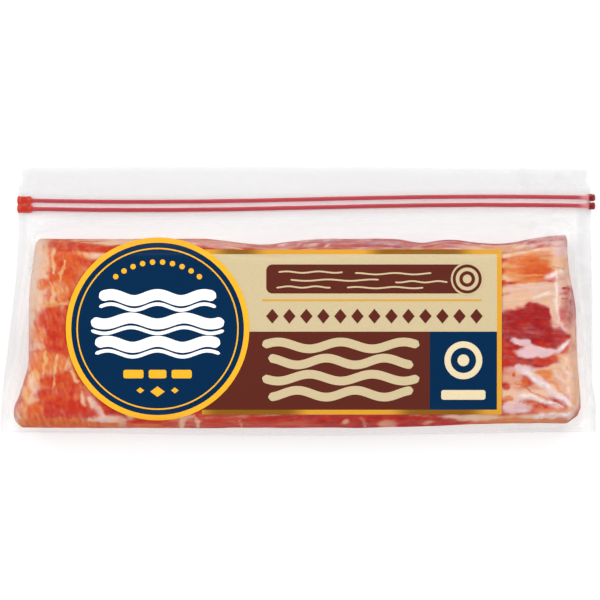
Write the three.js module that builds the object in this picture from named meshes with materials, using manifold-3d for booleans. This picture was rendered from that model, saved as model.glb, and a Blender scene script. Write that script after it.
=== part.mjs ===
// A pack of thick-cut bacon: a slab of rashers in a clear zip-top pouch, lying on its back.
// Millimetres, +X to the right along the pouch, +Y towards the zip, +Z up out of the printed face.
// The pouch is two webs of film joined all round. The slab swells them apart, they meet again in a
// thin fin along both sides and the foot, and run flat under the zip and into the lip above it.

import * as THREE from "three";
import { mergeVertices } from "three/addons/utils/BufferGeometryUtils.js";
import Module from "manifold-3d";

const wasm = await Module();
wasm.setup();

// The slab of rashers: a rectangle on plan, seen from above.
const SLAB_THICKNESS = 28;
const SLAB_LEFT = -132;
const SLAB_RIGHT = 135.7;
const SLAB_HEAD = 29;
const SLAB_FOOT = -64.8;
const SLAB_CORNER = 8;
const RASHER_THICKNESS = 4;

// Where its edges stray from that rectangle: each step moves an edge by `reach` over a `run`.
const LEFT_BULGE = { from: 27, run: -40, reach: 4.3 };
const LEFT_SLUMP = { from: -22, run: -32, reach: 7.4 };
const RIGHT_SPREAD = { from: 31, run: -88, reach: 6.6 };
const FOOT_RISE = { from: 15, run: 60, reach: 2.1 };
const HEAD_RISE = { from: 100, run: 34, reach: 4.1 };
const HEAD_DIPS = [{ at: -12, width: 22, depth: 3 }, { at: 86, width: 16, depth: 1.8 }];

// The slab's upper face: how far it falls off at the sides and ends, its slack swells, and the
// edges of the lower rashers, which step out past the top one on the zip's side.
const CROWN_FALL = 1.3;
const END_FALL = 0.9;
const SWELL = 0.35;
const HEAD_STEPS = [-5.5, -2];
const HEAD_STEP_RUN = 1.6;
const HEAD_STEP_DROP = 0.55 * RASHER_THICKNESS;

// The pouch on plan.
const POUCH_LEFT = -141;
const POUCH_RIGHT = 147.2;
const POUCH_FOOT = -66.8;
const POUCH_LIP = 67.7;
const LEFT_FLARE = { from: 28, run: -94, reach: 8.2 };
const RIGHT_FLARE = { from: -40, run: -14, reach: 1.9 };
const FOOT_SAG = 1.8;
const LIP_FALL = { from: 20, run: 120, reach: -1.2 };
const LIP_INSET = { from: 57, run: 3, reach: 1.9 };

// The webs in section: the fin where they meet, and the header that lies on the table.
const FIN_THICKNESS = 0.9;
const FIN_HEIGHT = 11;
const FIN_DROOP = { from: 0, run: -9, reach: 2.2 };
const HEADER_HEIGHT = 0.95;
const HEADER_FROM = 8;
const LIP_CURL = 1.4;
const LIP_CURL_RUN = 18;
const SHOULDER_WIDTH = 12;
const FOOT_SHOULDER_WIDTH = 6;

// The film tents from the slab's top edge down to the zip.
const TENT_INSET = 4;
const TENT_CURVE = 1.5;
const TENT_SIDE_WIDTH = 34;

// The press-to-close zip: two ribs on a welded tape, pressed flat at the side seams.
const ZIP_Y = 48.1;
const ZIP_WAVE = 1.3;
const ZIP_WAVE_LENGTH = 350;
const ZIP_WAVE_START = 8;
const TAPE_HALF_WIDTH = 6;
const TAPE_RISE = 0.5;
const TAPE_EDGE = 1.2;
const RIB_PITCH = 4.15;
const RIB_HALF_WIDTH = 0.7;
const RIB_HALF_HEIGHT = 0.75;
const RIB_SIDES = 8;
const RIB_RINGS = 52;
const RIB_INSET = 0.3;
const RIB_OVERHANG = 2;
const CRUSH_RUN = 2.5;
const UPPER_RIB_ENDS = [
  { length: 7, halfWidth: 1.7, halfHeight: 0.5 },
  { length: 4.5, halfWidth: 1.3, halfHeight: 0.75 },
];
const LOWER_RIB_ENDS = [
  { length: 7.5, halfWidth: 2, halfHeight: 0.5 },
  { length: 4, halfWidth: 1.2, halfHeight: 0.75 },
];

// The printed label: a round badge that overlaps a bordered panel of three fields.
const PRINT_GAP = 0.3;
const PRINT_THICKNESS = 0.35;
const FIELD_GAP = 0.15;
const BADGE_X = -70;
const BADGE_Y = -14.8;
const BADGE_RADIUS = 45.6;
const BADGE_RIM = 2.7;
const BADGE_SEGMENTS = 32;
const PANEL_LEFT = -40;
const PANEL_RIGHT = 100.7;
const PANEL_TOP = 24.2;
const PANEL_BOTTOM = -56.8;
const BORDER = 2;
const SPLIT_Y = -16.2;
const SPLIT_X = 65.2;

const clamp = (value, low = 0, high = 1) => Math.min(Math.max(value, low), high);
const mix = (a, b, share) => a + (b - a) * share;
const bell = (t) => Math.exp(-t * t);

// 0 below t = 0, 1 above t = 1, smooth in between.
function smooth(t) {
  const s = clamp(t);
  return s * s * (3 - 2 * s);
}

const step = ({ from, run, reach }, t) => reach * smooth((t - from) / run);

// A rounded shoulder: 0 at the edge, 1 one width in. A higher power is a squarer shoulder.
function shoulder(t, power) {
  return (1 - (1 - clamp(t)) ** power) ** (1 / power);
}

// Outline of the slab. Its foot end is wider than its head, as the rashers have slumped.
const slabLeft = (y) => SLAB_LEFT - step(LEFT_BULGE, y) - step(LEFT_SLUMP, y);
const slabRight = (y) => SLAB_RIGHT + step(RIGHT_SPREAD, y);
const slabFoot = (x) => SLAB_FOOT + step(FOOT_RISE, x);

function slabHead(x) {
  const dips = HEAD_DIPS.map(({ at, width, depth }) => depth * bell((x - at) / width));
  return SLAB_HEAD + step(HEAD_RISE, x) - dips.reduce((sum, dip) => sum + dip);
}

// Outline of the webs.
const pouchLeft = (y) => POUCH_LEFT - step(LEFT_FLARE, y) + step(LIP_INSET, y);
const pouchRight = (y) => POUCH_RIGHT + step(RIGHT_FLARE, y) - step(LIP_INSET, y);
const pouchLip = (x) => POUCH_LIP + step(LIP_FALL, x);
const pouchFoot = (x) => POUCH_FOOT - FOOT_SAG * Math.cos((Math.PI * x) / (2 * POUCH_RIGHT)) ** 2;

const zipLine = (x) => ZIP_Y + ZIP_WAVE * Math.sin((2 * Math.PI * (x - ZIP_WAVE_START)) / ZIP_WAVE_LENGTH);
const tapeFoot = (x) => zipLine(x) - TAPE_HALF_WIDTH;
const tapeHead = (x) => zipLine(x) + TAPE_HALF_WIDTH;

// How far a point lies inside the slab's two ends and foot, with the foot corners rounded off.
function depthInSlab(x, y) {
  const across = SLAB_CORNER - Math.min(x - slabLeft(y), slabRight(y) - x);
  const along = SLAB_CORNER - (y - slabFoot(x));
  const outside = Math.hypot(Math.max(across, 0), Math.max(along, 0));
  return SLAB_CORNER - outside - Math.min(Math.max(across, along), 0);
}

// Height of the seam between the webs: half way up the slab, and down on the table at the zip.
function seamHeight(x, y) {
  const drop = smooth((y - HEADER_FROM) / (tapeFoot(x) - HEADER_FROM));
  const droop = step(FIN_DROOP, depthInSlab(x, y)) * (1 - drop);
  const wave = 0.65 * Math.sin(x / 31) + 0.35 * Math.sin(x / 13 + 1);
  const curl = LIP_CURL * (1 + wave) * smooth((y - tapeHead(x)) / LIP_CURL_RUN);
  return mix(FIN_HEIGHT, HEADER_HEIGHT, drop) - droop + curl;
}

function slabRelief(x, y) {
  const middle = (SLAB_HEAD + SLAB_FOOT) / 2;
  const crown = CROWN_FALL * ((y - middle) / (SLAB_HEAD - middle)) ** 2 + END_FALL * (x / SLAB_RIGHT) ** 4;
  const swell = SWELL * (Math.sin(x / 17 + 0.6) * Math.cos(y / 13) + Math.sin(x / 37 - y / 21));
  const steps = HEAD_STEPS.map((inset) => smooth((y - slabHead(x) - inset) / HEAD_STEP_RUN));
  return swell - crown - HEAD_STEP_DROP * steps.reduce((sum, share) => sum + share);
}

// Share of the way down from the slab's top edge to the zip tape.
function tentShare(x, y) {
  const start = slabHead(x) - TENT_INSET;
  return clamp((y - start) / (tapeFoot(x) + TAPE_EDGE - start));
}

// The front web, as a height over the table.
function frontHeight(x, y) {
  const seam = seamHeight(x, y) + FIN_THICKNESS / 2;
  const share = tentShare(x, y);
  const width = mix(SHOULDER_WIDTH, TENT_SIDE_WIDTH, share);
  const rounding = shoulder(depthInSlab(x, y) / width, mix(2.6, 1.5, share));
  const rise = (SLAB_THICKNESS + slabRelief(x, y) - seam) * rounding * (1 - share) ** TENT_CURVE;
  const tape = TAPE_RISE * smooth((TAPE_HALF_WIDTH - Math.abs(y - zipLine(x))) / TAPE_EDGE);
  return seam + rise + tape;
}

// The back web, flat on the table under the slab and the zip.
function backHeight(x, y) {
  const seam = seamHeight(x, y) - FIN_THICKNESS / 2;
  const pressed = shoulder(depthInSlab(x, y) / FOOT_SHOULDER_WIDTH, 3);
  return seam * (1 - pressed * (1 - smooth((y - tapeHead(x)) / LIP_CURL_RUN)));
}

// Offsets that crowd together near an edge, where the film turns over most, and even ones.
const crowded = (count) => Array.from({ length: count }, (_, i) => SHOULDER_WIDTH * ((i + 1) / count) ** 1.8);
const evenly = (count, from, to) => Array.from({ length: count }, (_, i) => mix(from, to, (i + 1) / (count + 1)));

// Grid lines across the pouch at a given y, left to right.
function linesAcross(y) {
  const inset = [0, ...crowded(5)];
  const left = inset.map((d) => slabLeft(y) + d);
  const right = inset.map((d) => slabRight(y) - d).reverse();
  const middle = evenly(20, left.at(-1), right[0]);
  const finLeft = [pouchLeft(y), mix(pouchLeft(y), slabLeft(y), 0.55)];
  const finRight = [mix(slabRight(y), pouchRight(y), 0.45), pouchRight(y)];
  return [...finLeft, ...left, ...middle, ...right, ...finRight];
}

// Grid lines up it at a given x, foot to lip.
function linesUp(x) {
  const foot = [0, ...crowded(5)].map((d) => slabFoot(x) + d);
  const [lower, upper] = HEAD_STEPS.map((inset) => slabHead(x) + inset);
  const steps = [lower, lower + HEAD_STEP_RUN, upper, upper + HEAD_STEP_RUN];
  const tent = evenly(4, steps.at(-1), tapeFoot(x));
  const tape = [tapeFoot(x), tapeFoot(x) + TAPE_EDGE, tapeHead(x) - TAPE_EDGE, tapeHead(x)];
  const lip = [...evenly(3, tapeHead(x), pouchLip(x)), pouchLip(x)];
  return [pouchFoot(x), ...foot, ...evenly(8, foot.at(-1), lower), ...steps, ...tent, ...tape, ...lip];
}

// A box divided by those grid lines, its lower and upper faces moved to two height fields.
function quilt(lower, upper) {
  const nx = linesAcross(0).length - 1;
  const ny = linesUp(0).length - 1;
  const geometry = new THREE.BoxGeometry(1, 1, 1, nx, ny, 1);
  const position = geometry.getAttribute("position");
  for (let k = 0; k < position.count; k++) {
    const i = Math.round((position.getX(k) + 0.5) * nx);
    const j = Math.round((position.getY(k) + 0.5) * ny);
    const x = linesAcross(linesUp(0)[j])[i];
    const y = linesUp(x)[j];
    position.setXYZ(k, x, y, position.getZ(k) > 0 ? upper(x, y) : lower(x, y));
  }
  return geometry;
}

// A closed three.js geometry as a solid to cut, and a cut solid as a geometry again.
function solidOf(geometry) {
  const bare = geometry.clone();
  bare.deleteAttribute("normal");
  bare.deleteAttribute("uv");
  const merged = mergeVertices(bare);
  const vertProperties = new Float32Array(merged.getAttribute("position").array);
  const triVerts = new Uint32Array(merged.index.array);
  return new wasm.Manifold(new wasm.Mesh({ numProp: 3, vertProperties, triVerts }));
}

function geometryOf(solid) {
  const mesh = solid.getMesh();
  const geometry = new THREE.BufferGeometry();
  geometry.setAttribute("position", new THREE.BufferAttribute(mesh.vertProperties, 3));
  geometry.setIndex(new THREE.BufferAttribute(mesh.triVerts, 1));
  geometry.computeVertexNormals();
  return geometry;
}

// A rib of the zip: a bar along the zip line, pressed wide and flat at its two ends.
function ribGeometry(offset, leftX, rightX, [leftEnd, rightEnd]) {
  const geometry = new THREE.CylinderGeometry(1, 1, 1, RIB_SIDES, RIB_RINGS);
  geometry.rotateZ(-Math.PI / 2);
  const position = geometry.getAttribute("position");
  const base = HEADER_HEIGHT + FIN_THICKNESS / 2 + TAPE_RISE + PRINT_GAP;
  for (let k = 0; k < position.count; k++) {
    const t = position.getX(k) + 0.5;
    const crowdedToEnds = mix(t, 0.5 - 0.5 * Math.cos(Math.PI * t), 0.85);
    const x = mix(leftX, rightX, crowdedToEnds);
    const atLeft = smooth((leftEnd.length - (x - leftX)) / CRUSH_RUN);
    const atRight = smooth((rightEnd.length - (rightX - x)) / CRUSH_RUN);
    const halfWidth = mix(mix(RIB_HALF_WIDTH, leftEnd.halfWidth, atLeft), rightEnd.halfWidth, atRight);
    const halfHeight = mix(mix(RIB_HALF_HEIGHT, leftEnd.halfHeight, atLeft), rightEnd.halfHeight, atRight);
    const tip = Math.sqrt(clamp((Math.min(x - leftX, rightX - x) + 0.35) / 1.6));
    const y = zipLine(x) + offset + position.getY(k) * halfWidth * tip;
    const z = base + halfHeight * (1 + position.getZ(k) * tip);
    position.setXYZ(k, x, y, z);
  }
  return geometry;
}

// Tall straight prisms over the printed outlines, to cut the print's skin with.
function prism(shape) {
  const height = 2 * SLAB_THICKNESS;
  const geometry = new THREE.ExtrudeGeometry(shape, {
    depth: height,
    bevelEnabled: false,
    curveSegments: BADGE_SEGMENTS,
  });
  return solidOf(geometry.translate(0, 0, (SLAB_THICKNESS - height) / 2));
}

function box(left, bottom, right, top) {
  const corners = [[left, bottom], [right, bottom], [right, top], [left, top]];
  return prism(new THREE.Shape(corners.map(([x, y]) => new THREE.Vector2(x, y))));
}

function disc(radius) {
  return prism(new THREE.Shape().absarc(BADGE_X, BADGE_Y, radius, 0, 2 * Math.PI));
}

// The thin skin of ink just clear of the front web, cut into its fields.
function printedFields() {
  const skin = solidOf(
    quilt(
      (x, y) => frontHeight(x, y) + PRINT_GAP,
      (x, y) => frontHeight(x, y) + PRINT_GAP + PRINT_THICKNESS,
    ),
  );
  const [left, bottom, right, top] = [PANEL_LEFT, PANEL_BOTTOM + BORDER, PANEL_RIGHT - BORDER, PANEL_TOP - BORDER];
  const g = FIELD_GAP;
  const beside = disc(BADGE_RADIUS + g);
  const panel = box(PANEL_LEFT, PANEL_BOTTOM, PANEL_RIGHT, PANEL_TOP);
  const outlines = {
    label_border: panel.subtract(box(left - g, bottom, right, top)).subtract(beside),
    label_tan_field: box(left, SPLIT_Y + g, right - g, top - g).subtract(beside),
    label_brown_field: box(left, bottom + g, SPLIT_X - g, SPLIT_Y).subtract(beside),
    label_navy_field: box(SPLIT_X, bottom + g, right - g, SPLIT_Y).subtract(beside),
    badge_rim: disc(BADGE_RADIUS).subtract(disc(BADGE_RADIUS - BADGE_RIM)),
    badge_field: disc(BADGE_RADIUS - BADGE_RIM - g),
  };
  return Object.entries(outlines).map(([name, outline]) => [name, geometryOf(skin.intersect(outline))]);
}

// Finishes, each a function that gives a mesh a material of its own.
const finish = (color, roughness, metalness = 0) => () =>
  new THREE.MeshStandardMaterial({ color, roughness, metalness });
const bacon = finish(0xcf6b4f, 0.25);
const zipRed = finish(0xb8384a, 0.4);
const inks = {
  label_border: finish(0xd9a43a, 0.35, 0.6),
  label_tan_field: finish(0xdecaa0, 0.45),
  label_brown_field: finish(0x662d22, 0.45),
  label_navy_field: finish(0x062b52, 0.45),
  badge_rim: finish(0xf4b73d, 0.4),
  badge_field: finish(0x062b52, 0.45),
};

const pack = new THREE.Group();

function add(name, geometry, material) {
  const mesh = new THREE.Mesh(geometry, material);
  mesh.name = name;
  pack.add(mesh);
}

add("bag", quilt(backHeight, frontHeight), bacon());

const ribLeft = POUCH_LEFT + RIB_INSET;
const ribRight = POUCH_RIGHT + RIB_OVERHANG;
add("zip_rib_upper", ribGeometry(RIB_PITCH / 2, ribLeft, ribRight, UPPER_RIB_ENDS), zipRed());
add("zip_rib_lower", ribGeometry(-RIB_PITCH / 2, ribLeft, ribRight, LOWER_RIB_ENDS), zipRed());

for (const [name, geometry] of printedFields()) {
  add(name, geometry, inks[name]());
}

// The origin goes under the middle of the pack, on the table.
const extent = new THREE.Box3().setFromObject(pack, true);
pack.position.set(-(extent.min.x + extent.max.x) / 2, -(extent.min.y + extent.max.y) / 2, -extent.min.z);

export default pack;
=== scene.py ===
"""A pack of thick-cut streaky bacon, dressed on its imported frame.

Rashers lie in a stack inside a clear zip-top pouch. The pouch's front carries a printed round badge
and a bordered label. Sizes here are millimetres in the frame's own axes: +X to the right along the
pouch, +Y towards the zip, +Z up out of the printed face. Meshes are written in metres.
"""

import logging
import math
from collections.abc import Callable, Sequence
from dataclasses import dataclass
from enum import Enum

import bpy
import numpy as np
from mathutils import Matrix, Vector
from mathutils.bvhtree import BVHTree


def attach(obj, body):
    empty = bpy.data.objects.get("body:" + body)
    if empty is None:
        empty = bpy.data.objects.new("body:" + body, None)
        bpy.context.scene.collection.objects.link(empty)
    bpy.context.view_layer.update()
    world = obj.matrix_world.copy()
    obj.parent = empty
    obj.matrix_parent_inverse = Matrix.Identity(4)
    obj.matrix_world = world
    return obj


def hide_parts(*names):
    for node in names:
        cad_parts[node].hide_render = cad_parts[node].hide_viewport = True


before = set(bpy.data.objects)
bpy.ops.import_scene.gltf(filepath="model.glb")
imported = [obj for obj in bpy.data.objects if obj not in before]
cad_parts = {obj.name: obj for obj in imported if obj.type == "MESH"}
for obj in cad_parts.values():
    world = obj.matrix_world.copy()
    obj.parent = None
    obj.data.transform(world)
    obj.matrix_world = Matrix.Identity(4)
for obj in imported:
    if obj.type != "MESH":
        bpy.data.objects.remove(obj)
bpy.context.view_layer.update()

logging.basicConfig(level=logging.INFO, format="%(message)s")
log = logging.getLogger("bacon_pack")

MM = 0.001
RIPPLE_CELLS = 70.0
Field = np.ndarray
Number = np.ndarray | float
Point = tuple[float, float]
Colour = tuple[float, float, float, float]
Piece = bpy.types.Object
Material = bpy.types.Material
Socket = bpy.types.NodeSocket


def smooth(t: Number) -> Number:
    """0 below t = 0, 1 above t = 1, smooth in between."""
    s = np.clip(t, 0.0, 1.0)
    return s * s * (3.0 - 2.0 * s)


def mix(a: Number, b: Number, share: Number) -> Number:
    """The value that lies a share of the way from a to b."""
    return a + (b - a) * share


def bell(t: Number) -> Number:
    """1 at t = 0, falling evenly on both sides to about a third at 1 and -1."""
    return np.exp(-(t**2))


def srgb(red: int, green: int, blue: int) -> Colour:
    """A screen colour of 0 to 255 as Blender's linear colour."""
    linear = [((c / 255 + 0.055) / 1.055) ** 2.4 if c > 10 else c / 255 / 12.92 for c in (red, green, blue)]
    return (*linear, 1.0)


def scaled(colour: Colour, factor: float) -> Colour:
    """A colour made darker or brighter."""
    return (*(min(1.0, factor * c) for c in colour[:3]), 1.0)


class Grain:
    """A smooth random field over the plan, the same on every run."""

    cells: int = 256
    gain: float = 1.6
    octave_shift: Point = (17.3, 5.9)

    def __init__(self, seed: int) -> None:
        """Draws the field's slopes, from a seed."""
        turns = np.random.default_rng(seed).uniform(0.0, 2.0 * math.pi, (self.cells, self.cells))
        self.slope_x, self.slope_y = np.cos(turns), np.sin(turns)

    def at(self, x: Field, y: Field) -> Field:
        """The field at points whose unit is one lattice cell.

        Args:
            x: the points' x.
            y: the points' y.

        Returns:
            Its values, from about -1 to 1.
        """
        column, row = np.floor(x).astype(int), np.floor(y).astype(int)
        dx, dy = x - column, y - row

        def corner(i: int, j: int) -> Field:
            """What the lattice point i columns and j rows on adds."""
            c, r = (column + i) % self.cells, (row + j) % self.cells
            return self.slope_x[c, r] * (dx - i) + self.slope_y[c, r] * (dy - j)

        low = mix(corner(0, 0), corner(1, 0), smooth(dx))
        high = mix(corner(0, 1), corner(1, 1), smooth(dx))
        return self.gain * mix(low, high, smooth(dy))

    def layered(self, x: Field, y: Field, octaves: int = 3) -> Field:
        """The sum of finer and weaker copies of the field, from about -1 to 1.

        Args:
            x: the points' x, in cells of the coarsest copy.
            y: the points' y.
            octaves: how many copies.

        Returns:
            The sum.
        """
        sx, sy = self.octave_shift
        total = sum(self.at(x * 2**k + sx * k, y * 2**k + sy * k) / 2**k for k in range(octaves))
        return total / (2.0 - 2.0 ** (1 - octaves))


@dataclass(frozen=True)
class Ramp:
    """A smooth step of an edge: it moves by reach over a run."""

    start: float
    run: float
    reach: float

    def at(self, t: Number) -> Number:
        """How far the edge has moved at t."""
        return self.reach * smooth((t - self.start) / self.run)


@dataclass(frozen=True)
class Swell:
    """A smooth hump of an edge."""

    middle: float
    width: float
    size: float

    def at(self, t: Number) -> Number:
        """How far the edge stands out at t."""
        return self.size * bell((t - self.middle) / self.width)


@dataclass(frozen=True)
class Outline:
    """Four edges on plan: left and right as functions of y, foot and head as functions of x."""

    left: Callable[[Field], Field]
    right: Callable[[Field], Field]
    foot: Callable[[Field], Field]
    head: Callable[[Field], Field]
    rounds: int = 3

    def spread(self, u: Field, v: Field) -> tuple[Field, Field]:
        """Spreads points of the unit square over the outline.

        Args:
            u: share of the way from left to right.
            v: share of the way from foot to head.

        Returns:
            The x and y of each point.
        """
        y = mix(self.foot(0.0 * u), self.head(0.0 * u), v)
        for _ in range(self.rounds):
            x = mix(self.left(y), self.right(y), u)
            y = mix(self.foot(x), self.head(x), v)
        return x, y

    def depth(self, x: Field, y: Field) -> Field:
        """How far a point lies inside the nearest edge."""
        sides = np.minimum(x - self.left(y), self.right(y) - x)
        return np.minimum(sides, np.minimum(y - self.foot(x), self.head(x) - y))


@dataclass(frozen=True)
class PackPlan:
    """The plan of the pack: the slab of rashers, the pouch's webs and the zip."""

    slab_left: float = -132.0
    slab_right: float = 135.7
    slab_head: float = 31.0
    slab_foot: float = -64.35
    left_bulge: Ramp = Ramp(27.45, -40.0, 4.3)
    left_slump: Ramp = Ramp(-21.55, -32.0, 7.4)
    right_spread: Ramp = Ramp(31.45, -88.0, 6.6)
    foot_rise: Ramp = Ramp(30.0, 80.0, 2.3)
    head_rise: Ramp = Ramp(104.0, 28.0, 1.8)
    head_dips: tuple[Swell, ...] = (Swell(-18.0, 18.0, 2.9), Swell(61.0, 9.0, 2.0), Swell(98.0, 16.0, 2.6))
    pouch_left: float = -141.0
    pouch_right: float = 147.1
    pouch_foot: float = -66.35
    pouch_lip: float = 68.1
    left_flare: Ramp = Ramp(28.45, -94.0, 8.1)
    right_flare: Ramp = Ramp(-39.55, -14.0, 1.9)
    foot_sag: float = 1.75
    lip_fall: Ramp = Ramp(20.0, 120.0, -1.2)
    lip_inset: Ramp = Ramp(57.45, 3.0, 1.9)
    zip_y: float = 48.55
    zip_wave: float = 1.3
    zip_wave_length: float = 350.0
    zip_wave_start: float = 8.0

    def head_line(self, x: Field) -> Field:
        """The slab's head edge."""
        return self.slab_head + self.head_rise.at(x) - sum(dip.at(x) for dip in self.head_dips)

    def slab(self) -> Outline:
        """The slab of rashers.

        Returns:
            Its outline.
        """
        return Outline(
            left=lambda y: self.slab_left - self.left_bulge.at(y) - self.left_slump.at(y),
            right=lambda y: self.slab_right + self.right_spread.at(y),
            foot=lambda x: self.slab_foot + self.foot_rise.at(x),
            head=self.head_line,
        )

    def pouch(self) -> Outline:
        """The pouch's webs of film.

        Returns:
            Their outline.
        """
        quarter = math.pi / (2.0 * self.pouch_right)
        return Outline(
            left=lambda y: self.pouch_left - self.left_flare.at(y) + self.lip_inset.at(y),
            right=lambda y: self.pouch_right + self.right_flare.at(y) - self.lip_inset.at(y),
            foot=lambda x: self.pouch_foot - self.foot_sag * np.cos(quarter * x) ** 2,
            head=lambda x: self.pouch_lip + self.lip_fall.at(x),
        )

    def zip_line(self, x: Field) -> Field:
        """The line half way between the two ribs of the zip."""
        turn = 2.0 * math.pi * (x - self.zip_wave_start) / self.zip_wave_length
        return self.zip_y + self.zip_wave * np.sin(turn)


class Probe:
    """Heights of a mesh over and under points of the plan."""

    def __init__(self, piece: Piece) -> None:
        """Keeps a mesh ready for measuring."""
        mesh = piece.data
        self.tree = BVHTree.FromPolygons([v.co for v in mesh.vertices], [p.vertices for p in mesh.polygons])

    def heights(self, x: Field, y: Field, from_above: bool = True) -> Field:
        """Height of the upper or lower side of the mesh at each point of the plan.

        Args:
            x: the points' x.
            y: the points' y.
            from_above: whether the upper side is measured.

        Returns:
            The heights, in the shape of x. Beside the mesh it is its nearest point's height.
        """
        start, way = (1.0, -1.0) if from_above else (-1.0, 1.0)
        found = np.empty(x.size)
        for k, (px, py) in enumerate(zip(x.ravel() * MM, y.ravel() * MM)):
            hit = self.tree.ray_cast(Vector((px, py, start)), Vector((0.0, 0.0, way)))[0]
            if hit is None:
                hit = self.tree.find_nearest(Vector((px, py, 0.0)))[0]
            found[k] = hit.z / MM
        return found.reshape(x.shape)


@dataclass
class BagForm:
    """The bag's own form as two smooth surfaces, its front and its back, over a grid on plan."""

    bag: Probe
    plan: PackPlan
    step: float = 1.0
    margin: float = 3.0
    inset: float = 0.3
    last_cell: float = 1.001
    soft: float = 1.5
    calm_soft: float = 3.6
    header_start: float = 30.0
    print_left: float = -118.0
    print_right: float = 101.0
    fade: float = 6.0

    def __post_init__(self) -> None:
        """Measures the bag once, and softens its facets."""
        pouch = self.plan.pouch()
        reach_x = self.plan.pouch_right + self.margin
        self.xs = np.arange(-reach_x, reach_x + self.step, self.step)
        foot, lip = self.plan.pouch_foot - 2 * self.margin, self.plan.pouch_lip + self.margin
        self.ys = np.arange(foot, lip, self.step)
        gx, gy = np.meshgrid(self.xs, self.ys)
        px = np.clip(gx, pouch.left(gy) + self.inset, pouch.right(gy) - self.inset)
        py = np.clip(gy, pouch.foot(gx) + self.inset, pouch.head(gx) - self.inset)
        high = self.bag.heights(px, py)
        printed = smooth((gx - self.print_left) / self.fade + 1.0)
        printed = printed * smooth((self.print_right - gx) / self.fade + 1.0)
        header = smooth((gy - self.header_start) / self.fade)
        plain = blurred(high, self.soft / self.step)
        calm = blurred(high, self.calm_soft / self.step)
        flatter = mix(np.maximum(calm, plain), calm, header)
        self.front = mix(plain, flatter, np.maximum(printed, header))
        self.back = blurred(self.bag.heights(px, py, from_above=False), self.soft / self.step)

    def reading(self, values: Field, x: Field, y: Field) -> Field:
        """One of the two surfaces' heights at points of the plan.

        Args:
            values: the surface's grid.
            x: the points' x.
            y: the points' y.

        Returns:
            The heights.
        """
        column = np.clip((x - self.xs[0]) / self.step, 0.0, len(self.xs) - self.last_cell)
        row = np.clip((y - self.ys[0]) / self.step, 0.0, len(self.ys) - self.last_cell)
        i, j = column.astype(int), row.astype(int)
        low = mix(values[j, i], values[j, i + 1], column - i)
        high = mix(values[j + 1, i], values[j + 1, i + 1], column - i)
        return mix(low, high, row - j)

    def front_at(self, x: Field, y: Field) -> Field:
        """The front's height at points of the plan."""
        return self.reading(self.front, x, y)

    def back_at(self, x: Field, y: Field) -> Field:
        """The back's height at points of the plan."""
        return self.reading(self.back, x, y)


def blurred(values: Field, cells: float) -> Field:
    """A grid of values smoothed along both its axes.

    Args:
        values: the grid.
        cells: the blur's width, in cells.

    Returns:
        The smoothed grid, with its edges kept.
    """
    reach = int(3 * cells)
    weights = np.exp(-0.5 * (np.arange(-reach, reach + 1) / cells) ** 2)
    weights /= weights.sum()
    for axis in (0, 1):
        rims = [(reach, reach) if a == axis else (0, 0) for a in (0, 1)]
        padded = np.pad(values, rims, mode="reflect", reflect_type="odd")
        values = np.apply_along_axis(lambda line: np.convolve(line, weights, mode="valid"), axis, padded)
    return values


def pick(piece: Piece) -> None:
    """Selects a piece alone and makes it the active one.

    Args:
        piece: the piece.
    """
    bpy.ops.object.select_all(action="DESELECT")
    bpy.context.view_layer.objects.active = piece
    piece.select_set(True)


def edit(piece: Piece) -> None:
    """Opens a piece alone in edit mode, with all of it selected.

    Args:
        piece: the piece.
    """
    pick(piece)
    bpy.ops.object.mode_set(mode="EDIT")
    bpy.ops.mesh.select_all(action="SELECT")


def close_edit() -> None:
    """Goes back to object mode."""
    bpy.ops.object.mode_set(mode="OBJECT")


def weld(piece: Piece, reach: float) -> None:
    """Joins points of a piece that lie within reach, and turns its faces outwards.

    Args:
        piece: the piece.
        reach: the distance, in the mesh's own unit.
    """
    edit(piece)
    bpy.ops.mesh.remove_doubles(threshold=reach)
    bpy.ops.mesh.normals_make_consistent(inside=False)
    close_edit()


def sheet_grid(name: str, across: int, up: int) -> Piece:
    """A flat unit grid, ready to be shaped.

    Args:
        name: the piece's name.
        across: cells from left to right.
        up: cells from foot to head.

    Returns:
        The new piece.
    """
    bpy.ops.object.select_all(action="DESELECT")
    bpy.ops.mesh.primitive_grid_add(x_subdivisions=across, y_subdivisions=up, size=1.0)
    piece = bpy.context.active_object
    piece.name = piece.data.name = name
    return piece


def closed_grid(name: str, across: int, up: int) -> Piece:
    """Two unit grids one above the other, joined round the rim into a closed solid.

    Args:
        name: the piece's name.
        across: cells from left to right.
        up: cells from foot to head.

    Returns:
        The new piece.
    """
    piece = sheet_grid(name, across, up)
    edit(piece)
    bpy.ops.mesh.extrude_region_move(TRANSFORM_OT_translate={"value": (0.0, 0.0, 1.0)})
    bpy.ops.mesh.select_all(action="SELECT")
    bpy.ops.mesh.normals_make_consistent(inside=False)
    close_edit()
    return piece


def points_of(piece: Piece) -> Field:
    """The piece's vertices.

    Args:
        piece: the piece.

    Returns:
        One row for each vertex, in its mesh's own unit.
    """
    flat = np.empty(len(piece.data.vertices) * 3)
    piece.data.vertices.foreach_get("co", flat)
    return flat.reshape(-1, 3)


def move_points(piece: Piece, x: Field, y: Field, z: Field) -> None:
    """Puts the piece's vertices at places given in millimetres.

    Args:
        piece: the piece.
        x: the places' x.
        y: the places' y.
        z: the places' z.
    """
    places = np.stack([np.broadcast_to(a, x.shape).ravel() for a in (x, y, z)], axis=1) * MM
    piece.data.vertices.foreach_set("co", places.ravel())
    piece.data.update()


def stain(piece: Piece, name: str, values: Field) -> None:
    """Writes one number for each vertex, for the materials to read."""
    attribute = piece.data.attributes.new(name, "FLOAT", "POINT")
    attribute.data.foreach_set("value", np.clip(values, 0.0, 1.0).ravel().astype(np.float32))


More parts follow.
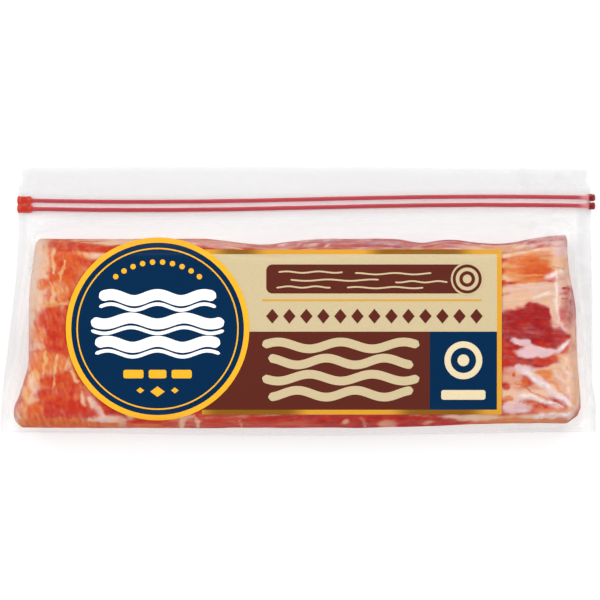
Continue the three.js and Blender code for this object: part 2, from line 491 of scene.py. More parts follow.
def finish_piece(piece: Piece, material: Material, smooth_angle: float = 60.0) -> None:
    """Dresses a piece and fastens it to the frame.

    Args:
        piece: the finished mesh object.
        material: its material.
        smooth_angle: edges sharper than this many degrees stay sharp.
    """
    piece.data.materials.clear()
    piece.data.materials.append(material)
    pick(piece)
    bpy.ops.object.shade_smooth_by_angle(angle=math.radians(smooth_angle))
    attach(piece, "root")
    log.info("%s: %d faces", piece.name, len(piece.data.polygons))


class Nodes:
    """Adds and links the nodes of one tree."""

    def __init__(self, tree: bpy.types.NodeTree) -> None:
        """Starts on a material's or a group's node tree."""
        self.tree = tree

    def add(self, kind: str, inputs: dict | None = None, **settings: object) -> bpy.types.Node:
        """Adds a node.

        Args:
            kind: the node's type, without its leading ShaderNode.
            inputs: values or sockets for its inputs, by name or number.
            settings: the node's own properties.

        Returns:
            The node.
        """
        node = self.tree.nodes.new(f"ShaderNode{kind}")
        for key, value in settings.items():
            setattr(node, key, value)
        for key, value in (inputs or {}).items():
            if isinstance(value, bpy.types.NodeSocket):
                self.tree.links.new(value, node.inputs[key])
            else:
                node.inputs[key].default_value = value
        return node

    def show(self, shader: bpy.types.Node) -> None:
        """Makes a shader the material's surface."""
        self.tree.links.new(shader.outputs[0], self.add("OutputMaterial").inputs[0])

    def math(self, operation: str, a: object, b: object = 0.0, clamp: bool = False) -> Socket:
        """The result of a Math node on two values or sockets."""
        return self.add("Math", {0: a, 1: b}, operation=operation, use_clamp=clamp).outputs[0]

    def plus(self, a: object, b: object) -> Socket:
        """The sum of two values."""
        return self.math("ADD", a, b)

    def less(self, a: object, b: object) -> Socket:
        """The first value less the second."""
        return self.math("SUBTRACT", a, b)

    def times(self, a: object, b: object) -> Socket:
        """The product of two values."""
        return self.math("MULTIPLY", a, b)

    def scale(self, value: object, factor: float, start: float) -> Socket:
        """A value times a factor, and a start."""
        return self.plus(self.times(value, factor), start)

    def blend(self, share: object, a: object, b: object) -> Socket:
        """The colour that lies a share of the way from a to b."""
        return self.add("Mix", {0: share, 6: a, 7: b}, data_type="RGBA").outputs[2]

    def between(self, value: object, low: float, high: float) -> Socket:
        """A value spread smoothly from 0 at low to 1 at high."""
        spread = {"Value": value, "From Min": low, "From Max": high}
        return self.add("MapRange", spread, interpolation_type="SMOOTHSTEP").outputs[0]

    def place(self, stretch: Sequence[float] = (1.0, 1.0, 1.0), turn: float = 0.0) -> Socket:
        """Object coordinates, stretched along the axes and turned about Z by so many degrees."""
        where = {"Vector": self.add("TexCoord").outputs["Object"], "Scale": tuple(stretch)}
        return self.add("Mapping", {**where, "Rotation": (0.0, 0.0, math.radians(turn))}).outputs[0]

    def noise(self, scale: object, vector: object, detail: float = 3.0, rough: float = 0.5) -> Socket:
        """A noise value about 0.5, with scale cells to a metre."""
        node = self.add("TexNoise", {"Vector": vector, "Scale": scale, "Detail": detail, "Roughness": rough})
        return node.outputs["Fac"]

    def reading(self, name: str) -> Socket:
        """The number that the mesh carries under a name."""
        return self.add("Attribute", attribute_name=name).outputs["Fac"]

    def bump(self, height: object, strength: float, depth: float) -> Socket:
        """The normal of a relief whose height of 1 is so many metres deep."""
        return self.add("Bump", {"Height": height, "Strength": strength, "Distance": depth}).outputs[0]

    def rippled(self, strength: float, depth: float) -> Socket:
        """The normal of the ripples that film and print share."""
        ripple = self.add("Group", {"Cells": RIPPLE_CELLS}, node_tree=film_ripple())
        return self.bump(ripple.outputs[0], strength, depth)


def new_material(name: str) -> tuple[Material, Nodes]:
    """A bare material.

    Args:
        name: its name.

    Returns:
        The material and its nodes.
    """
    material = bpy.data.materials.new(name)
    material.use_nodes = True
    material.node_tree.nodes.clear()
    return material, Nodes(material.node_tree)


def film_ripple(name: str = "film_ripple", finer: float = 4.3, ridge: float = -0.35) -> bpy.types.NodeTree:
    """The node group of fine ripples that film and print share: low swells and short tight creases.

    Args:
        name: the group's name.
        finer: how much finer the creases are than the swells.
        ridge: how high the creases stand, as a share of the swells.

    Returns:
        The group, made once.
    """
    if name in bpy.data.node_groups:
        return bpy.data.node_groups[name]
    tree = bpy.data.node_groups.new(name, "ShaderNodeTree")
    size = tree.interface.new_socket("Cells", in_out="INPUT", socket_type="NodeSocketFloat")
    size.default_value = RIPPLE_CELLS
    tree.interface.new_socket("Height", in_out="OUTPUT", socket_type="NodeSocketFloat")
    nodes = Nodes(tree)
    given = tree.nodes.new("NodeGroupInput").outputs[0]
    out = tree.nodes.new("NodeGroupOutput")
    where = nodes.place((1.0, 1.0, 0.2))
    swell = nodes.noise(given, where, 1.0)
    crease = nodes.noise(nodes.times(given, finer), where, 2.0)
    height = nodes.plus(swell, nodes.times(nodes.math("ABSOLUTE", nodes.less(crease, 0.5)), ridge))
    tree.links.new(height, out.inputs[0])
    return tree


@dataclass(frozen=True)
class FilmFinish:
    """Clear packing film: milky by the share of milk that the mesh carries, which also holds painted
    highlights on creases and a painted sheen at the slab's ends; glossy where it is loose, not drawn tight.
    """

    name: str = "clear_film"
    tint: Colour = srgb(254, 254, 254)
    mirror: Colour = srgb(246, 246, 248)
    white: Colour = srgb(247, 246, 246)
    # the milk's grey, where shade is painted on the flat film
    grey: Colour = srgb(209, 209, 210)
    haze_and_glare: float = 0.6
    milk_roughness: float = 0.5
    milk_shine: float = 0.1
    roughness: float = 0.2
    drawn_roughness: float = 0.26
    seal_roughness: float = 0.3
    drawn_gloss: float = 0.22
    seal_gloss: float = 0.4
    gloss: float = 2.0
    most: float = 0.075
    index: float = 1.45
    ripple: Point = (0.35, 0.0012)

    def make(self) -> Material:
        """Builds the material: see-through, with a mirror-like gloss that grows at a glancing angle.

        Returns:
            The material.
        """
        material, nodes = new_material(self.name)
        normal = nodes.rippled(*self.ripple)
        haze_and_glare, drawn = nodes.reading("haze_and_glare"), nodes.less(1.0, nodes.reading("loose"))
        added = nodes.plus(nodes.times(haze_and_glare, self.seal_roughness), nodes.times(drawn, self.drawn_roughness))
        gloss = nodes.add("BsdfPrincipled", {
            "Base Color": self.mirror, "Roughness": nodes.plus(added, self.roughness), "Metallic": 1.0,
            "Normal": normal,
        })
        milk = nodes.add("BsdfPrincipled", {
            "Base Color": nodes.blend(nodes.reading("shade"), self.white, self.grey),
            "Roughness": self.milk_roughness, "Normal": normal, "Specular IOR Level": self.milk_shine,
        })
        clear = nodes.add("BsdfTransparent", {"Color": self.tint})
        fresnel = nodes.add("Fresnel", {"IOR": self.index, "Normal": normal}).outputs[0]
        milky = nodes.less(1.0, nodes.times(haze_and_glare, 1.0 - self.seal_gloss))
        taut = nodes.less(1.0, nodes.times(drawn, 1.0 - self.drawn_gloss))
        shine = nodes.math("MINIMUM", nodes.times(fresnel, self.gloss), self.most)
        veil = nodes.times(haze_and_glare, self.haze_and_glare)
        veiled = nodes.add("MixShader", {0: veil, 1: clear.outputs[0], 2: milk.outputs[0]})
        shine = nodes.times(nodes.times(milky, taut), shine)
        nodes.show(nodes.add("MixShader", {0: shine, 1: veiled.outputs[0], 2: gloss.outputs[0]}))
        return material


@dataclass(frozen=True)
class BaconFinish:
    """Raw cured bacon: fat and lean in the shares that the mesh carries, streaked along their fibres."""

    name: str = "raw_bacon"
    lean_stops: tuple[Colour, ...] = (srgb(140, 5, 10), srgb(174, 34, 11), srgb(193, 76, 20))
    fat_stops: tuple[Colour, ...] = (srgb(204, 169, 173), srgb(206, 167, 139), srgb(204, 150, 94))
    streak_cells: float = 520.0
    streak_stretch: float = 0.22
    streak_depth: float = 0.42
    fleck_cells: float = 240.0
    tone_cells: float = 300.0
    tone_depth: float = 0.7
    least_fat: float = -0.06
    fibre_cells: float = 1100.0
    fibre_stretch: float = 0.12
    relief: Point = (0.5, 0.0006)
    fibre_relief: float = 0.4
    fat_relief: float = 0.6
    roughness: float = 0.42
    fat_roughness: float = 0.12
    flesh: float = 0.1
    flesh_reach: tuple[float, float, float] = (0.003, 0.0012, 0.0008)
    shine: float = 0.08

    def make(self) -> Material:
        """Builds the material from the mesh's fat and warmth, broken up by grain along the fibres.

        Returns:
            The material.
        """
        material, nodes = new_material(self.name)
        streak = self.streaks(nodes, self.streak_cells, self.streak_stretch)
        fleck = nodes.noise(self.fleck_cells, nodes.place((0.7, 1.0, 1.0), 12.0), 4.0, 0.65)
        spread = nodes.plus(nodes.less(streak, 0.5), nodes.less(fleck, 0.5))
        fat = nodes.plus(nodes.reading("fat"), nodes.times(spread, self.streak_depth))
        tone = nodes.times(nodes.less(nodes.noise(self.tone_cells, nodes.place()), 0.5), self.tone_depth)
        warmth = nodes.math("ADD", nodes.reading("warmth"), tone, clamp=True)
        lean, pale = (self.three_tones(nodes, warmth, stops) for stops in (self.lean_stops, self.fat_stops))
        share = nodes.between(fat, self.least_fat, 1.0)
        fibres = self.streaks(nodes, self.fibre_cells, self.fibre_stretch)
        height = nodes.plus(nodes.times(fibres, self.fibre_relief), nodes.times(share, self.fat_relief))
        nodes.show(nodes.add("BsdfPrincipled", {
            "Base Color": nodes.blend(share, lean, pale),
            "Roughness": nodes.scale(share, self.fat_roughness, self.roughness),
            "Normal": nodes.bump(height, *self.relief),
            "Subsurface Weight": self.flesh, "Subsurface Radius": self.flesh_reach, "Subsurface Scale": 0.5,
            "Specular IOR Level": self.shine,
        }))
        return material

    def streaks(self, nodes: Nodes, cells: float, stretch: float) -> Socket:
        """Noise drawn out along the fibres, which turn across the rasher where the mesh says so.

        Args:
            nodes: the material's nodes.
            cells: how many cells the noise has to a metre.
            stretch: how much coarser it is along the fibres.

        Returns:
            The noise.
        """
        lengthwise = nodes.noise(cells, nodes.place((stretch, 1.0, 1.0)), 3.0, 0.6)
        crosswise = nodes.noise(cells, nodes.place((1.0, stretch, 1.0), -14.0), 3.0, 0.6)
        ways = {0: nodes.reading("upright"), 2: lengthwise, 3: crosswise}
        return nodes.add("Mix", ways, data_type="FLOAT").outputs[0]

    def three_tones(self, nodes: Nodes, value: object, stops: Sequence[Colour]) -> Socket:
        """A colour that runs through three stops as a value runs from 0 to 1."""
        low = nodes.blend(nodes.between(value, 0.0, 0.5), stops[0], stops[1])
        return nodes.blend(nodes.between(value, 0.5, 1.0), low, stops[2])


@dataclass(frozen=True)
class InkFinish:
    """Opaque ink printed on the film, as glossy as the film is."""

    name: str
    colour: Colour
    shade: Colour | None = None
    roughness: float = 0.45
    mottle_cells: float = 900.0
    darker: float = 0.92
    lighter: float = 1.07
    ripple: Point = (0.15, 0.0008)
    coat: float = 0.03
    coat_roughness: float = 0.3
    shine: float = 0.06

    def make(self) -> Material:
        """Builds the material, with a faint mottle, and a foil's bright and dark lengths if it has a shade.

        Returns:
            The material.
        """
        material, nodes = new_material(self.name)
        mottle = nodes.noise(self.mottle_cells, nodes.place(), 2.0)
        colour = nodes.blend(mottle, scaled(self.colour, self.darker), scaled(self.colour, self.lighter))
        if self.shade:
            colour = nodes.blend(nodes.reading("shade"), colour, self.shade)
        nodes.show(nodes.add("BsdfPrincipled", {
            "Base Color": colour, "Roughness": self.roughness, "Normal": nodes.rippled(*self.ripple),
            "Coat Weight": self.coat, "Coat Roughness": self.coat_roughness, "Specular IOR Level": self.shine,
        }))
        return material


@dataclass(frozen=True)
class ZipFinish:
    """Extruded red plastic, orange where one end is pressed flat and dark where the other is."""

    name: str = "red_zip"
    colour: Colour = srgb(182, 70, 80)
    dull: float = 0.88
    tones: tuple[tuple[str, Colour], ...] = (
        ("pressed", srgb(186, 52, 30)), ("faded", srgb(208, 132, 136)), ("bruised", srgb(106, 14, 22)),
    )
    glow: Colour = srgb(255, 116, 120)
    clearness: float = 0.3
    line_cells: float = 1500.0
    blotch_cells: float = 160.0
    relief: Point = (0.3, 0.0002)
    roughness: float = 0.22
    line_roughness: float = 0.15
    flesh: float = 0.1
    flesh_reach: tuple[float, float, float] = (0.002, 0.0006, 0.0006)

    def make(self) -> Material:
        """Builds the material, with fine draw lines along the rib. A little light comes through it.

        Returns:
            The material.
        """
        material, nodes = new_material(self.name)
        lines = nodes.noise(self.line_cells, nodes.place((0.02, 1.0, 1.0)), 2.0)
        blotch = nodes.noise(self.blotch_cells, nodes.place(), 2.0)
        colour = nodes.blend(blotch, scaled(self.colour, self.dull), self.colour)
        for name, tone in self.tones:
            colour = nodes.blend(nodes.reading(name), colour, tone)
        plastic = nodes.add("BsdfPrincipled", {
            "Base Color": colour, "Roughness": nodes.scale(lines, self.line_roughness, self.roughness),
            "Normal": nodes.bump(lines, *self.relief),
            "Subsurface Weight": self.flesh, "Subsurface Radius": self.flesh_reach, "Subsurface Scale": 0.5,
        })
        clear = nodes.add("BsdfTransparent", {"Color": self.glow})
        nodes.show(nodes.add("MixShader", {0: self.clearness, 1: plastic.outputs[0], 2: clear.outputs[0]}))
        return material


@dataclass(frozen=True)
class TapeFinish:
    """Thin translucent plastic, pinker and less clear near the ribs: a painted pink glow and shade that the
    ribs would cast through it.
    """

    name: str = "zip_tape_plastic"
    colour: Colour = srgb(250, 216, 217)
    least: float = 0.01
    most: float = 0.22
    line_cells: float = 900.0
    line_depth: float = 0.3
    relief: Point = (0.2, 0.0002)
    roughness: float = 0.35
    shine: float = 0.2

    def make(self) -> Material:
        """Builds the material: see-through, less so and pinker by how near the ribs are, where the pink glow
        and shade are painted.

        Returns:
            The material.
        """
        material, nodes = new_material(self.name)
        lines = nodes.noise(self.line_cells, nodes.place((0.02, 1.0, 1.0)), 2.0)
        drawn = nodes.scale(lines, self.line_depth, 1.0 - self.line_depth / 2)
        # painted pink glow and shade of the ribs, read from the mesh
        painted_rib_glow = nodes.times(nodes.reading("painted_rib_glow"), drawn)
        nodes.show(nodes.add("BsdfPrincipled", {
            "Base Color": self.colour, "Roughness": self.roughness, "Specular IOR Level": self.shine,
            "Alpha": nodes.scale(painted_rib_glow, self.most - self.least, self.least),
            "Normal": nodes.bump(lines, *self.relief),
        }))
        return material


@dataclass(frozen=True)
class Dab:
    """A soft-edged oval of one tone on the meat."""

    x: float
    y: float
    rx: float
    ry: float
    fat: float
    warmth: float
    turn: float = 0.0
    hold: float = 0.9
    edge: float = 0.7

    def share(self, x: Field, y: Field) -> Field:
        """How much of the tone each point takes.

        Args:
            x: the points' x.
            y: the points' y.

        Returns:
            The shares.
        """
        c, s = math.cos(math.radians(self.turn)), math.sin(math.radians(self.turn))
        along = ((x - self.x) * c + (y - self.y) * s) / self.rx
        across = ((y - self.y) * c - (x - self.x) * s) / self.ry
        return self.hold * smooth((1.0 + self.edge / 2 - np.hypot(along, across)) / self.edge)


@dataclass(frozen=True)
class Vein:
    """A streak of one tone along a line, narrowing to its ends."""

    points: tuple[Point, ...]
    width: float
    fat: float
    warmth: float
    hold: float = 1.0

    def share(self, x: Field, y: Field) -> Field:
        """How much of the tone each point takes.

        Args:
            x: the points' x.
            y: the points' y.

        Returns:
            The shares.
        """
        distance, along = line_distance(self.points, x, y)
        reach = self.width / 2 * (0.45 + 0.55 * np.sin(math.pi * np.clip(along, 0.04, 0.96)))
        return self.hold * smooth(1.25 - distance / reach * 0.75)


def line_distance(points: Sequence[Point], x: Field, y: Field) -> tuple[Field, Field]:
    """Distance of points of the plan from a line of straight lengths.

    Args:
        points: the line's corners.
        x: the points' x.
        y: the points' y.

    Returns:
        The distance, and the share of the line's length at which it is met.
    """
    lengths = [math.dist(a, b) for a, b in zip(points, points[1:])]
    best, where, run = np.full(x.shape, np.inf), np.zeros(x.shape), 0.0
    for (ax, ay), (bx, by), length in zip(points, points[1:], lengths):
        t = np.clip(((x - ax) * (bx - ax) + (y - ay) * (by - ay)) / length**2, 0.0, 1.0)
        distance = np.hypot(x - mix(ax, bx, t), y - mix(ay, by, t))
        nearer = distance < best
        best = np.where(nearer, distance, best)
        where = np.where(nearer, (run + t * length) / sum(lengths), where)
        run += length
    return best, where


@dataclass(frozen=True)
class Marbling:
    """Fat and lean over a rasher: bands along it, and the marks that show past the label, a few of which are
    white streaks painted as highlights of the film's creases.
    """

    seed: int = 0
    marks: tuple[Dab | Vein, ...] = ()
    shift: float = 0.0
    drift: float = 0.0
    bands: tuple[Point, ...] = ((0.03, 0.05), (0.28, 0.05), (0.52, 0.08), (0.78, 0.05), (0.99, 0.03))
    softness: float = 0.08
    wander: float = 0.08
    shiver: float = 0.03
    warmth: float = 0.45
    warmth_swing: float = 0.5
    warmth_grain: float = 0.22
    label_end: float = 115.0
    drift_run: float = 20.0
    upright_end: float = -104.0
    upright_run: float = 12.0
    slant: float = 0.35
    lengthwise_depth: float = 0.3
    crosswise_depth: float = 0.75

    def paint(self, x: Field, y: Field, across: Field) -> tuple[Field, Field, Field]:
        """Works out the meat's tones.

        Args:
            x: the points' x.
            y: the points' y.
            across: each point's share of the way across its rasher.

        Returns:
            The fat, from 0 lean to 1 fat, which also carries the painted highlights among the marks; the
            warmth, from 0 crimson to 1 orange; and how far the streaks run across the rasher, as they do at
            its left end.
        """
        grain, tone, fine = (Grain(self.seed + step) for step in (0, 500, 900))
        t = across + self.shift + self.wander * grain.layered(x / 42.0, y / 60.0)
        t = np.mod(t + self.shiver * grain.at(x / 9.0, y / 14.0), 1.0)
        fat = np.zeros(x.shape)
        for centre, half in self.bands:
            fat = np.maximum(fat, smooth((half + self.softness / 2 - np.abs(t - centre)) / self.softness))
        warmth = self.warmth + self.warmth_swing * tone.layered(x / 30.0, y / 16.0)
        wx = x + 1.4 * grain.at(x / 6.0, y / 6.0 + 31.0) + 0.5 * tone.at(x / 2.6, y / 2.4)
        wy = y + 0.9 * tone.at(x / 6.0, y / 5.0 + 11.0) + 0.3 * grain.at(x / 2.3, y / 1.9)
        wx, wy = wx + 0.2 * fine.at(x, y), wy + 0.15 * fine.at(y, x)
        drifted = wx + self.drift * smooth((self.label_end - np.abs(x)) / self.drift_run)
        for mark in self.marks:
            share = mark.share(drifted, wy)
            fat, warmth = mix(fat, mark.fat, share), mix(warmth, mark.warmth, share)
        upright = 1.0 - smooth((x - self.upright_end) / self.upright_run)
        lengthwise = grain.layered(x / 7.0 + 9.0, y / 1.6, 3)
        crosswise = grain.layered((x + self.slant * y) / 1.7 + 9.0, (y - self.slant * x) / 5.5, 3)
        streak = mix(lengthwise, crosswise, upright)
        depth = mix(self.lengthwise_depth, self.crosswise_depth, upright)
        fat = fat + depth * np.sign(streak) * np.abs(streak) ** 1.3 * (1.0 - 0.4 * np.abs(2.0 * fat - 1.0))
        return fat, warmth + self.warmth_grain * tone.layered(x / 4.0, y / 3.0 + 40.0, 3), upright


LEFT_END_MARKS: tuple[Dab | Vein, ...] = (
    Dab(-122, -18, 26, 52, 0.22, 0.78, hold=0.8, edge=0.3),
    Dab(-117, 16, 8, 15, 0.08, 0.85),
    Dab(-130.6, 14, 6, 20, 1, 0.56),
    Dab(-125.5, 26, 3, 5, 0.7, 0.7, 20),
    Dab(-119, 24, 4.5, 6, 0.12, 0.85),
    Vein(((-121, 27), (-123, 20), (-121.5, 13)), 1.8, 0.8, 0.8),
    Vein(((-115, 20), (-118.5, 13), (-117, 6)), 1.6, 0.75, 0.9),
    Dab(-127.5, 8, 3.2, 3, 0.3, 1),
    Dab(-119, 5, 4.5, 4.5, 0.5, 0.9),
    Vein(((-124, 9), (-121, 3), (-122.5, -3)), 1.6, 0.85, 0.8),
    Vein(((-127, -1.5), (-122, -2.6), (-116, -1.8)), 2, 0.7, 1),
    Dab(-133.5, -4, 2.4, 11, 0.85, 0.6),
    Dab(-120.5, -10, 8.5, 6.5, 0.06, 0.66),
    Dab(-130.5, -17, 4, 3.4, 0.34, 1),
    Dab(-118.5, -20, 7, 6.5, 0, 0.62),
    Dab(-130, -23.5, 4, 1.8, 0.6, 0.7),
    Dab(-123.5, -31, 9, 4.6, 0.3, 0.95),
    Vein(((-125.5, -25.5), (-126.5, -36.5)), 1.6, 0.85, 0.95),
    Vein(((-120, -27), (-121.5, -37.5)), 1.5, 0.8, 0.9),
    Vein(((-130.5, -27), (-131.5, -36)), 1.5, 0.8, 0.9),
    Vein(((-114.5, -29), (-116, -36)), 1.3, 0.7, 0.9),
    Dab(-130.5, -33, 3.6, 7, 0.27, 1),
    Dab(-131, -38.5, 2.8, 4, 0.75, 0.9),
    Dab(-115, -41, 9, 5.4, 0.08, 0.7),
    Vein(((-121.5, -38), (-122.5, -46)), 1.6, 0.85, 0.9),
    Vein(((-113.5, -35.5), (-109.5, -41)), 1.7, 0.85, 0.8),
    Dab(-132.5, -46.5, 4.2, 6.5, 0.85, 0.85),
    Dab(-121, -46.8, 11, 3.4, 0.08, 0.7),
    Dab(-113, -54.5, 19, 4.8, 0.02, 0.58, hold=1),
    Dab(-131.5, -55, 4.5, 3.6, 0.2, 0.95),
    Dab(-138, -57, 3.4, 5.4, 0.6, 0.85),
    Dab(-122, -61, 18, 2.2, 0.22, 1),
    Vein(((-104, -48.5), (-100.5, -54), (-96.5, -59)), 2.8, 0.85, 0.35, 0.85),
    Vein(((-108, -46), (-105.5, -52)), 2, 0.7, 0.6),
    Vein(((-87, -52), (-83.5, -59), (-82, -64)), 2.6, 0.8, 0.5),
    Dab(-74, -61.5, 14, 3.2, 0.06, 0.5, hold=1),
    Dab(-54.5, -61, 2.6, 4, 0.9, 0.4),
    Dab(-112, 26.5, 14, 2.4, 0.1, 0.6),
)

RIGHT_END_MARKS: tuple[Dab | Vein, ...] = (
    Dab(118, 24.5, 18, 2.6, 0.72, 0.6, edge=0.4),
    Dab(131, 25, 5.5, 4, 0.92, 0.16),
    Dab(117, 16, 16, 7.5, 0.55, 0.95, edge=0.4),
    Dab(115.5, 18.5, 10, 2.2, 0.22, 1),
    Dab(118.5, 13.6, 9.5, 4, 0.1, 1),
    Dab(122, 13.5, 4.4, 2.6, 0.02, 0.9),
    Vein(((104, 12.5), (115, 12), (124, 12.6)), 1, 0.55, 1),
    Dab(116, 8.5, 7, 3, 0.4, 1),
    Dab(102.5, 8.2, 1.6, 1.8, 0.05, 0.6),
    Dab(130.5, 17.5, 6, 4.4, 0.84, 0.55),
    Dab(133.5, 10.5, 4.6, 4.6, 0.78, 0.35),
    Vein(((126, 16.6), (130, 15.6), (133.5, 15.4)), 1.2, 0.5, 0.8),
    Dab(109.5, 6, 7, 2.4, 0.95, 0.3),
    Dab(117, 5.6, 17, 3, 0.84, 0.35, edge=0.4),
    Dab(115, 0.6, 15, 3.8, 0.88, 0.5, edge=0.4),
    Dab(103.5, -3, 6, 4.2, 0.86, 0.5, edge=0.5),
    Dab(112, -13.5, 14, 9, 0, 0.05, edge=0.22),
    Dab(121.5, -9.5, 7.5, 5.5, 0, 0.1, edge=0.25),
    Dab(117.5, -5, 6, 4, 0.02, 0.08, edge=0.3),
    Dab(104, -10, 5.5, 4.6, 0.04, 0.1),
    Dab(127, -18.5, 6.5, 5.2, 0, 0.12, 12, edge=0.25),
    Dab(113, -28, 15, 6.5, 0.04, 0.22, edge=0.3),
    Dab(104, -30, 6.5, 7.5, 0.06, 0.3, edge=0.3),
    Dab(110.6, -20.8, 5, 1.9, 1, 0, -5, hold=1, edge=0.5),
    Dab(114.8, -23.3, 3.4, 1.7, 0.95, 0.05, -30),
    Dab(118, -26, 10, 2.9, 1, 0, 1, hold=1, edge=0.5),
    # partly the fat eye's tip, partly a painted highlight of the film's crease beside it
    Vein(((124, -26.4), (129.6, -25.4), (132, -22.8), (135, -20.4)), 2, 0.95, 0.05),
    Dab(124.5, -29.8, 6, 1.8, 0.04, 0.6),
    Dab(110, -34, 5.5, 2, 0.75, 0.05),
    Dab(129, -39.5, 13, 6.5, 0.74, 0.62, edge=0.35),
    Dab(122, -37, 3.8, 2.8, 0.42, 1),
    Vein(((128, -33), (131, -39), (137, -43)), 1, 0.95, 0.7),
    Vein(((133, -33), (135, -37), (140, -39.5)), 0.9, 0.4, 0.8),
    Dab(106, -39.5, 6, 5, 0.62, 0.5),
    Dab(107, -37.5, 1.1, 1, 0.05, 0.6),
    Dab(103, -43, 2, 2, 0.08, 0.4),
    Dab(112.5, -41, 2.6, 1.8, 0.15, 0.9),
    # painted highlight: this white vein and the dab under it stand for the shine along the film's long
    # diagonal crease
    Vein(((107.5, -32.4), (114.6, -36.9), (119, -40), (124.6, -44), (131.9, -49), (138.5, -54.5)),
         3, 1, 0.15),
    Dab(110.6, -34.4, 3.6, 2.2, 1, 0.05, -38),
    Vein(((122, -38.5), (127, -42), (132, -47)), 1.2, 0.5, 0.8, 0.8),
    Vein(((108, -41.5), (116, -45.4), (124, -49.4)), 1.1, 0.25, 0.8),
    Dab(127, -54.8, 10, 1.7, 0.42, 0.9, 3),
    Dab(108, -53.4, 7.5, 3.6, 0.92, 0),
    Dab(104, -49.2, 2.6, 1.6, 0.3, 0.7),
    # painted highlight: white vein where the film's lower diagonal crease shines
    Vein(((107, -47), (116, -48.6), (124, -51), (132, -53.4)), 1.7, 1, 0.15),
    Vein(((110, -50.6), (120, -53), (128, -56.4)), 0.8, 0.3, 0.9),
    Vein(((117, -56.5), (126, -54.3), (134, -54)), 1.5, 0.32, 0.95),
    # painted highlight: white streak where the film's crease along the foot shines
    Dab(126, -58.4, 12, 1.4, 0.98, 0.15),
    Dab(131, -59.6, 3.4, 1.3, 0.3, 0.4),
    Dab(135, -5, 4.4, 11, 0.36, 0.22),
    Vein(((131, 5.6), (137, 5.6)), 1.3, 0, 0.2),
    Vein(((131.5, 1), (138, 0.5)), 0.8, 0.1, 0.2),
    Vein(((131.5, -5.5), (138, -6)), 0.8, 0.1, 0.25),
    Dab(137.5, -22, 3.2, 9, 0.66, 0.45),
    Dab(137.5, -42, 4, 14, 0.82, 0.5),
    Dab(127.3, -4, 2.6, 9, 0.9, 0.55),
)

EDGE_MARKS: tuple[Dab | Vein, ...] = (
    Dab(25, 30.5, 84, 5.4, 0.28, 0.12, hold=0.85, edge=0.3),
    Vein(((-6, 27.6), (10, 28.6), (22, 27)), 1, 0.9, 0.3),
    Vein(((48, 29), (64, 27.4), (78, 27.8)), 1.1, 0.1, 0.1),
    Dab(114, 31.5, 30, 3.6, 0.6, 0.02, 4, hold=0.9, edge=0.3),
    Vein(((104, 27.4), (118, 29), (130, 30.6)), 0.8, 0.25, 0.05, 0.7),
    Vein(((112, 30.4), (124, 32.2), (135, 33)), 0.8, 1, 0.1),
    Dab(-30, 28.5, 26, 3.4, 0.6, 0.3, hold=0.7, edge=0.4),
    Dab(20, -62.5, 74, 5.4, 0, 0.28, hold=1, edge=0.2),
    Dab(-40, -63, 32, 4.6, 0.12, 0.5, hold=0.8, edge=0.4),
    Dab(-104, -64, 42, 3, 0.12, 0.92, hold=0.9, edge=0.3),
    Dab(-87.5, -62, 2, 5, 0.6, 0.5, 14, hold=0.8),
    Dab(-57.5, -62, 1.8, 4.4, 0.8, 0.5, -10),
    Vein(((-52.5, -57.6), (-49.5, -61), (-50.4, -66)), 1.7, 0.75, 0.5),
    Vein(((-29.4, -59), (-28.2, -65)), 0.9, 0.6, 0.5),
    Dab(0, -62.5, 12, 3, 0.16, 0.5, hold=0.8),
    Dab(23.5, -60.8, 1.2, 1.6, 0.7, 0.4),
    Vein(((30.6, -58.5), (33.2, -60.8), (32.2, -65.5)), 1, 0.6, 0.4),
    Dab(44, -62, 4.6, 2.6, 0.5, 0.6),
    Dab(65, -61.6, 2.6, 1.6, 0.45, 0.4, 20),
    Dab(112, -62.5, 30, 3.6, 0.3, 1, hold=0.9, edge=0.3),
    Vein(((84, -61.2), (104, -62.6), (128, -62)), 1.2, 0.1, 0.9),
)

ALL_MARKS: tuple[Dab | Vein, ...] = LEFT_END_MARKS + RIGHT_END_MARKS + EDGE_MARKS


class Column(Enum):
    """The two rashers that lie side by side in each layer."""

    FOOT = "foot"
    HEAD = "head"


def crowded(u: Field, power: float) -> Field:
    """Puts more of a grid's columns at its two ends, the more the higher the power."""
    t = 2.0 * u - 1.0
    return 0.5 + 0.5 * np.sign(t) * (1.0 - (1.0 - np.abs(t)) ** power)


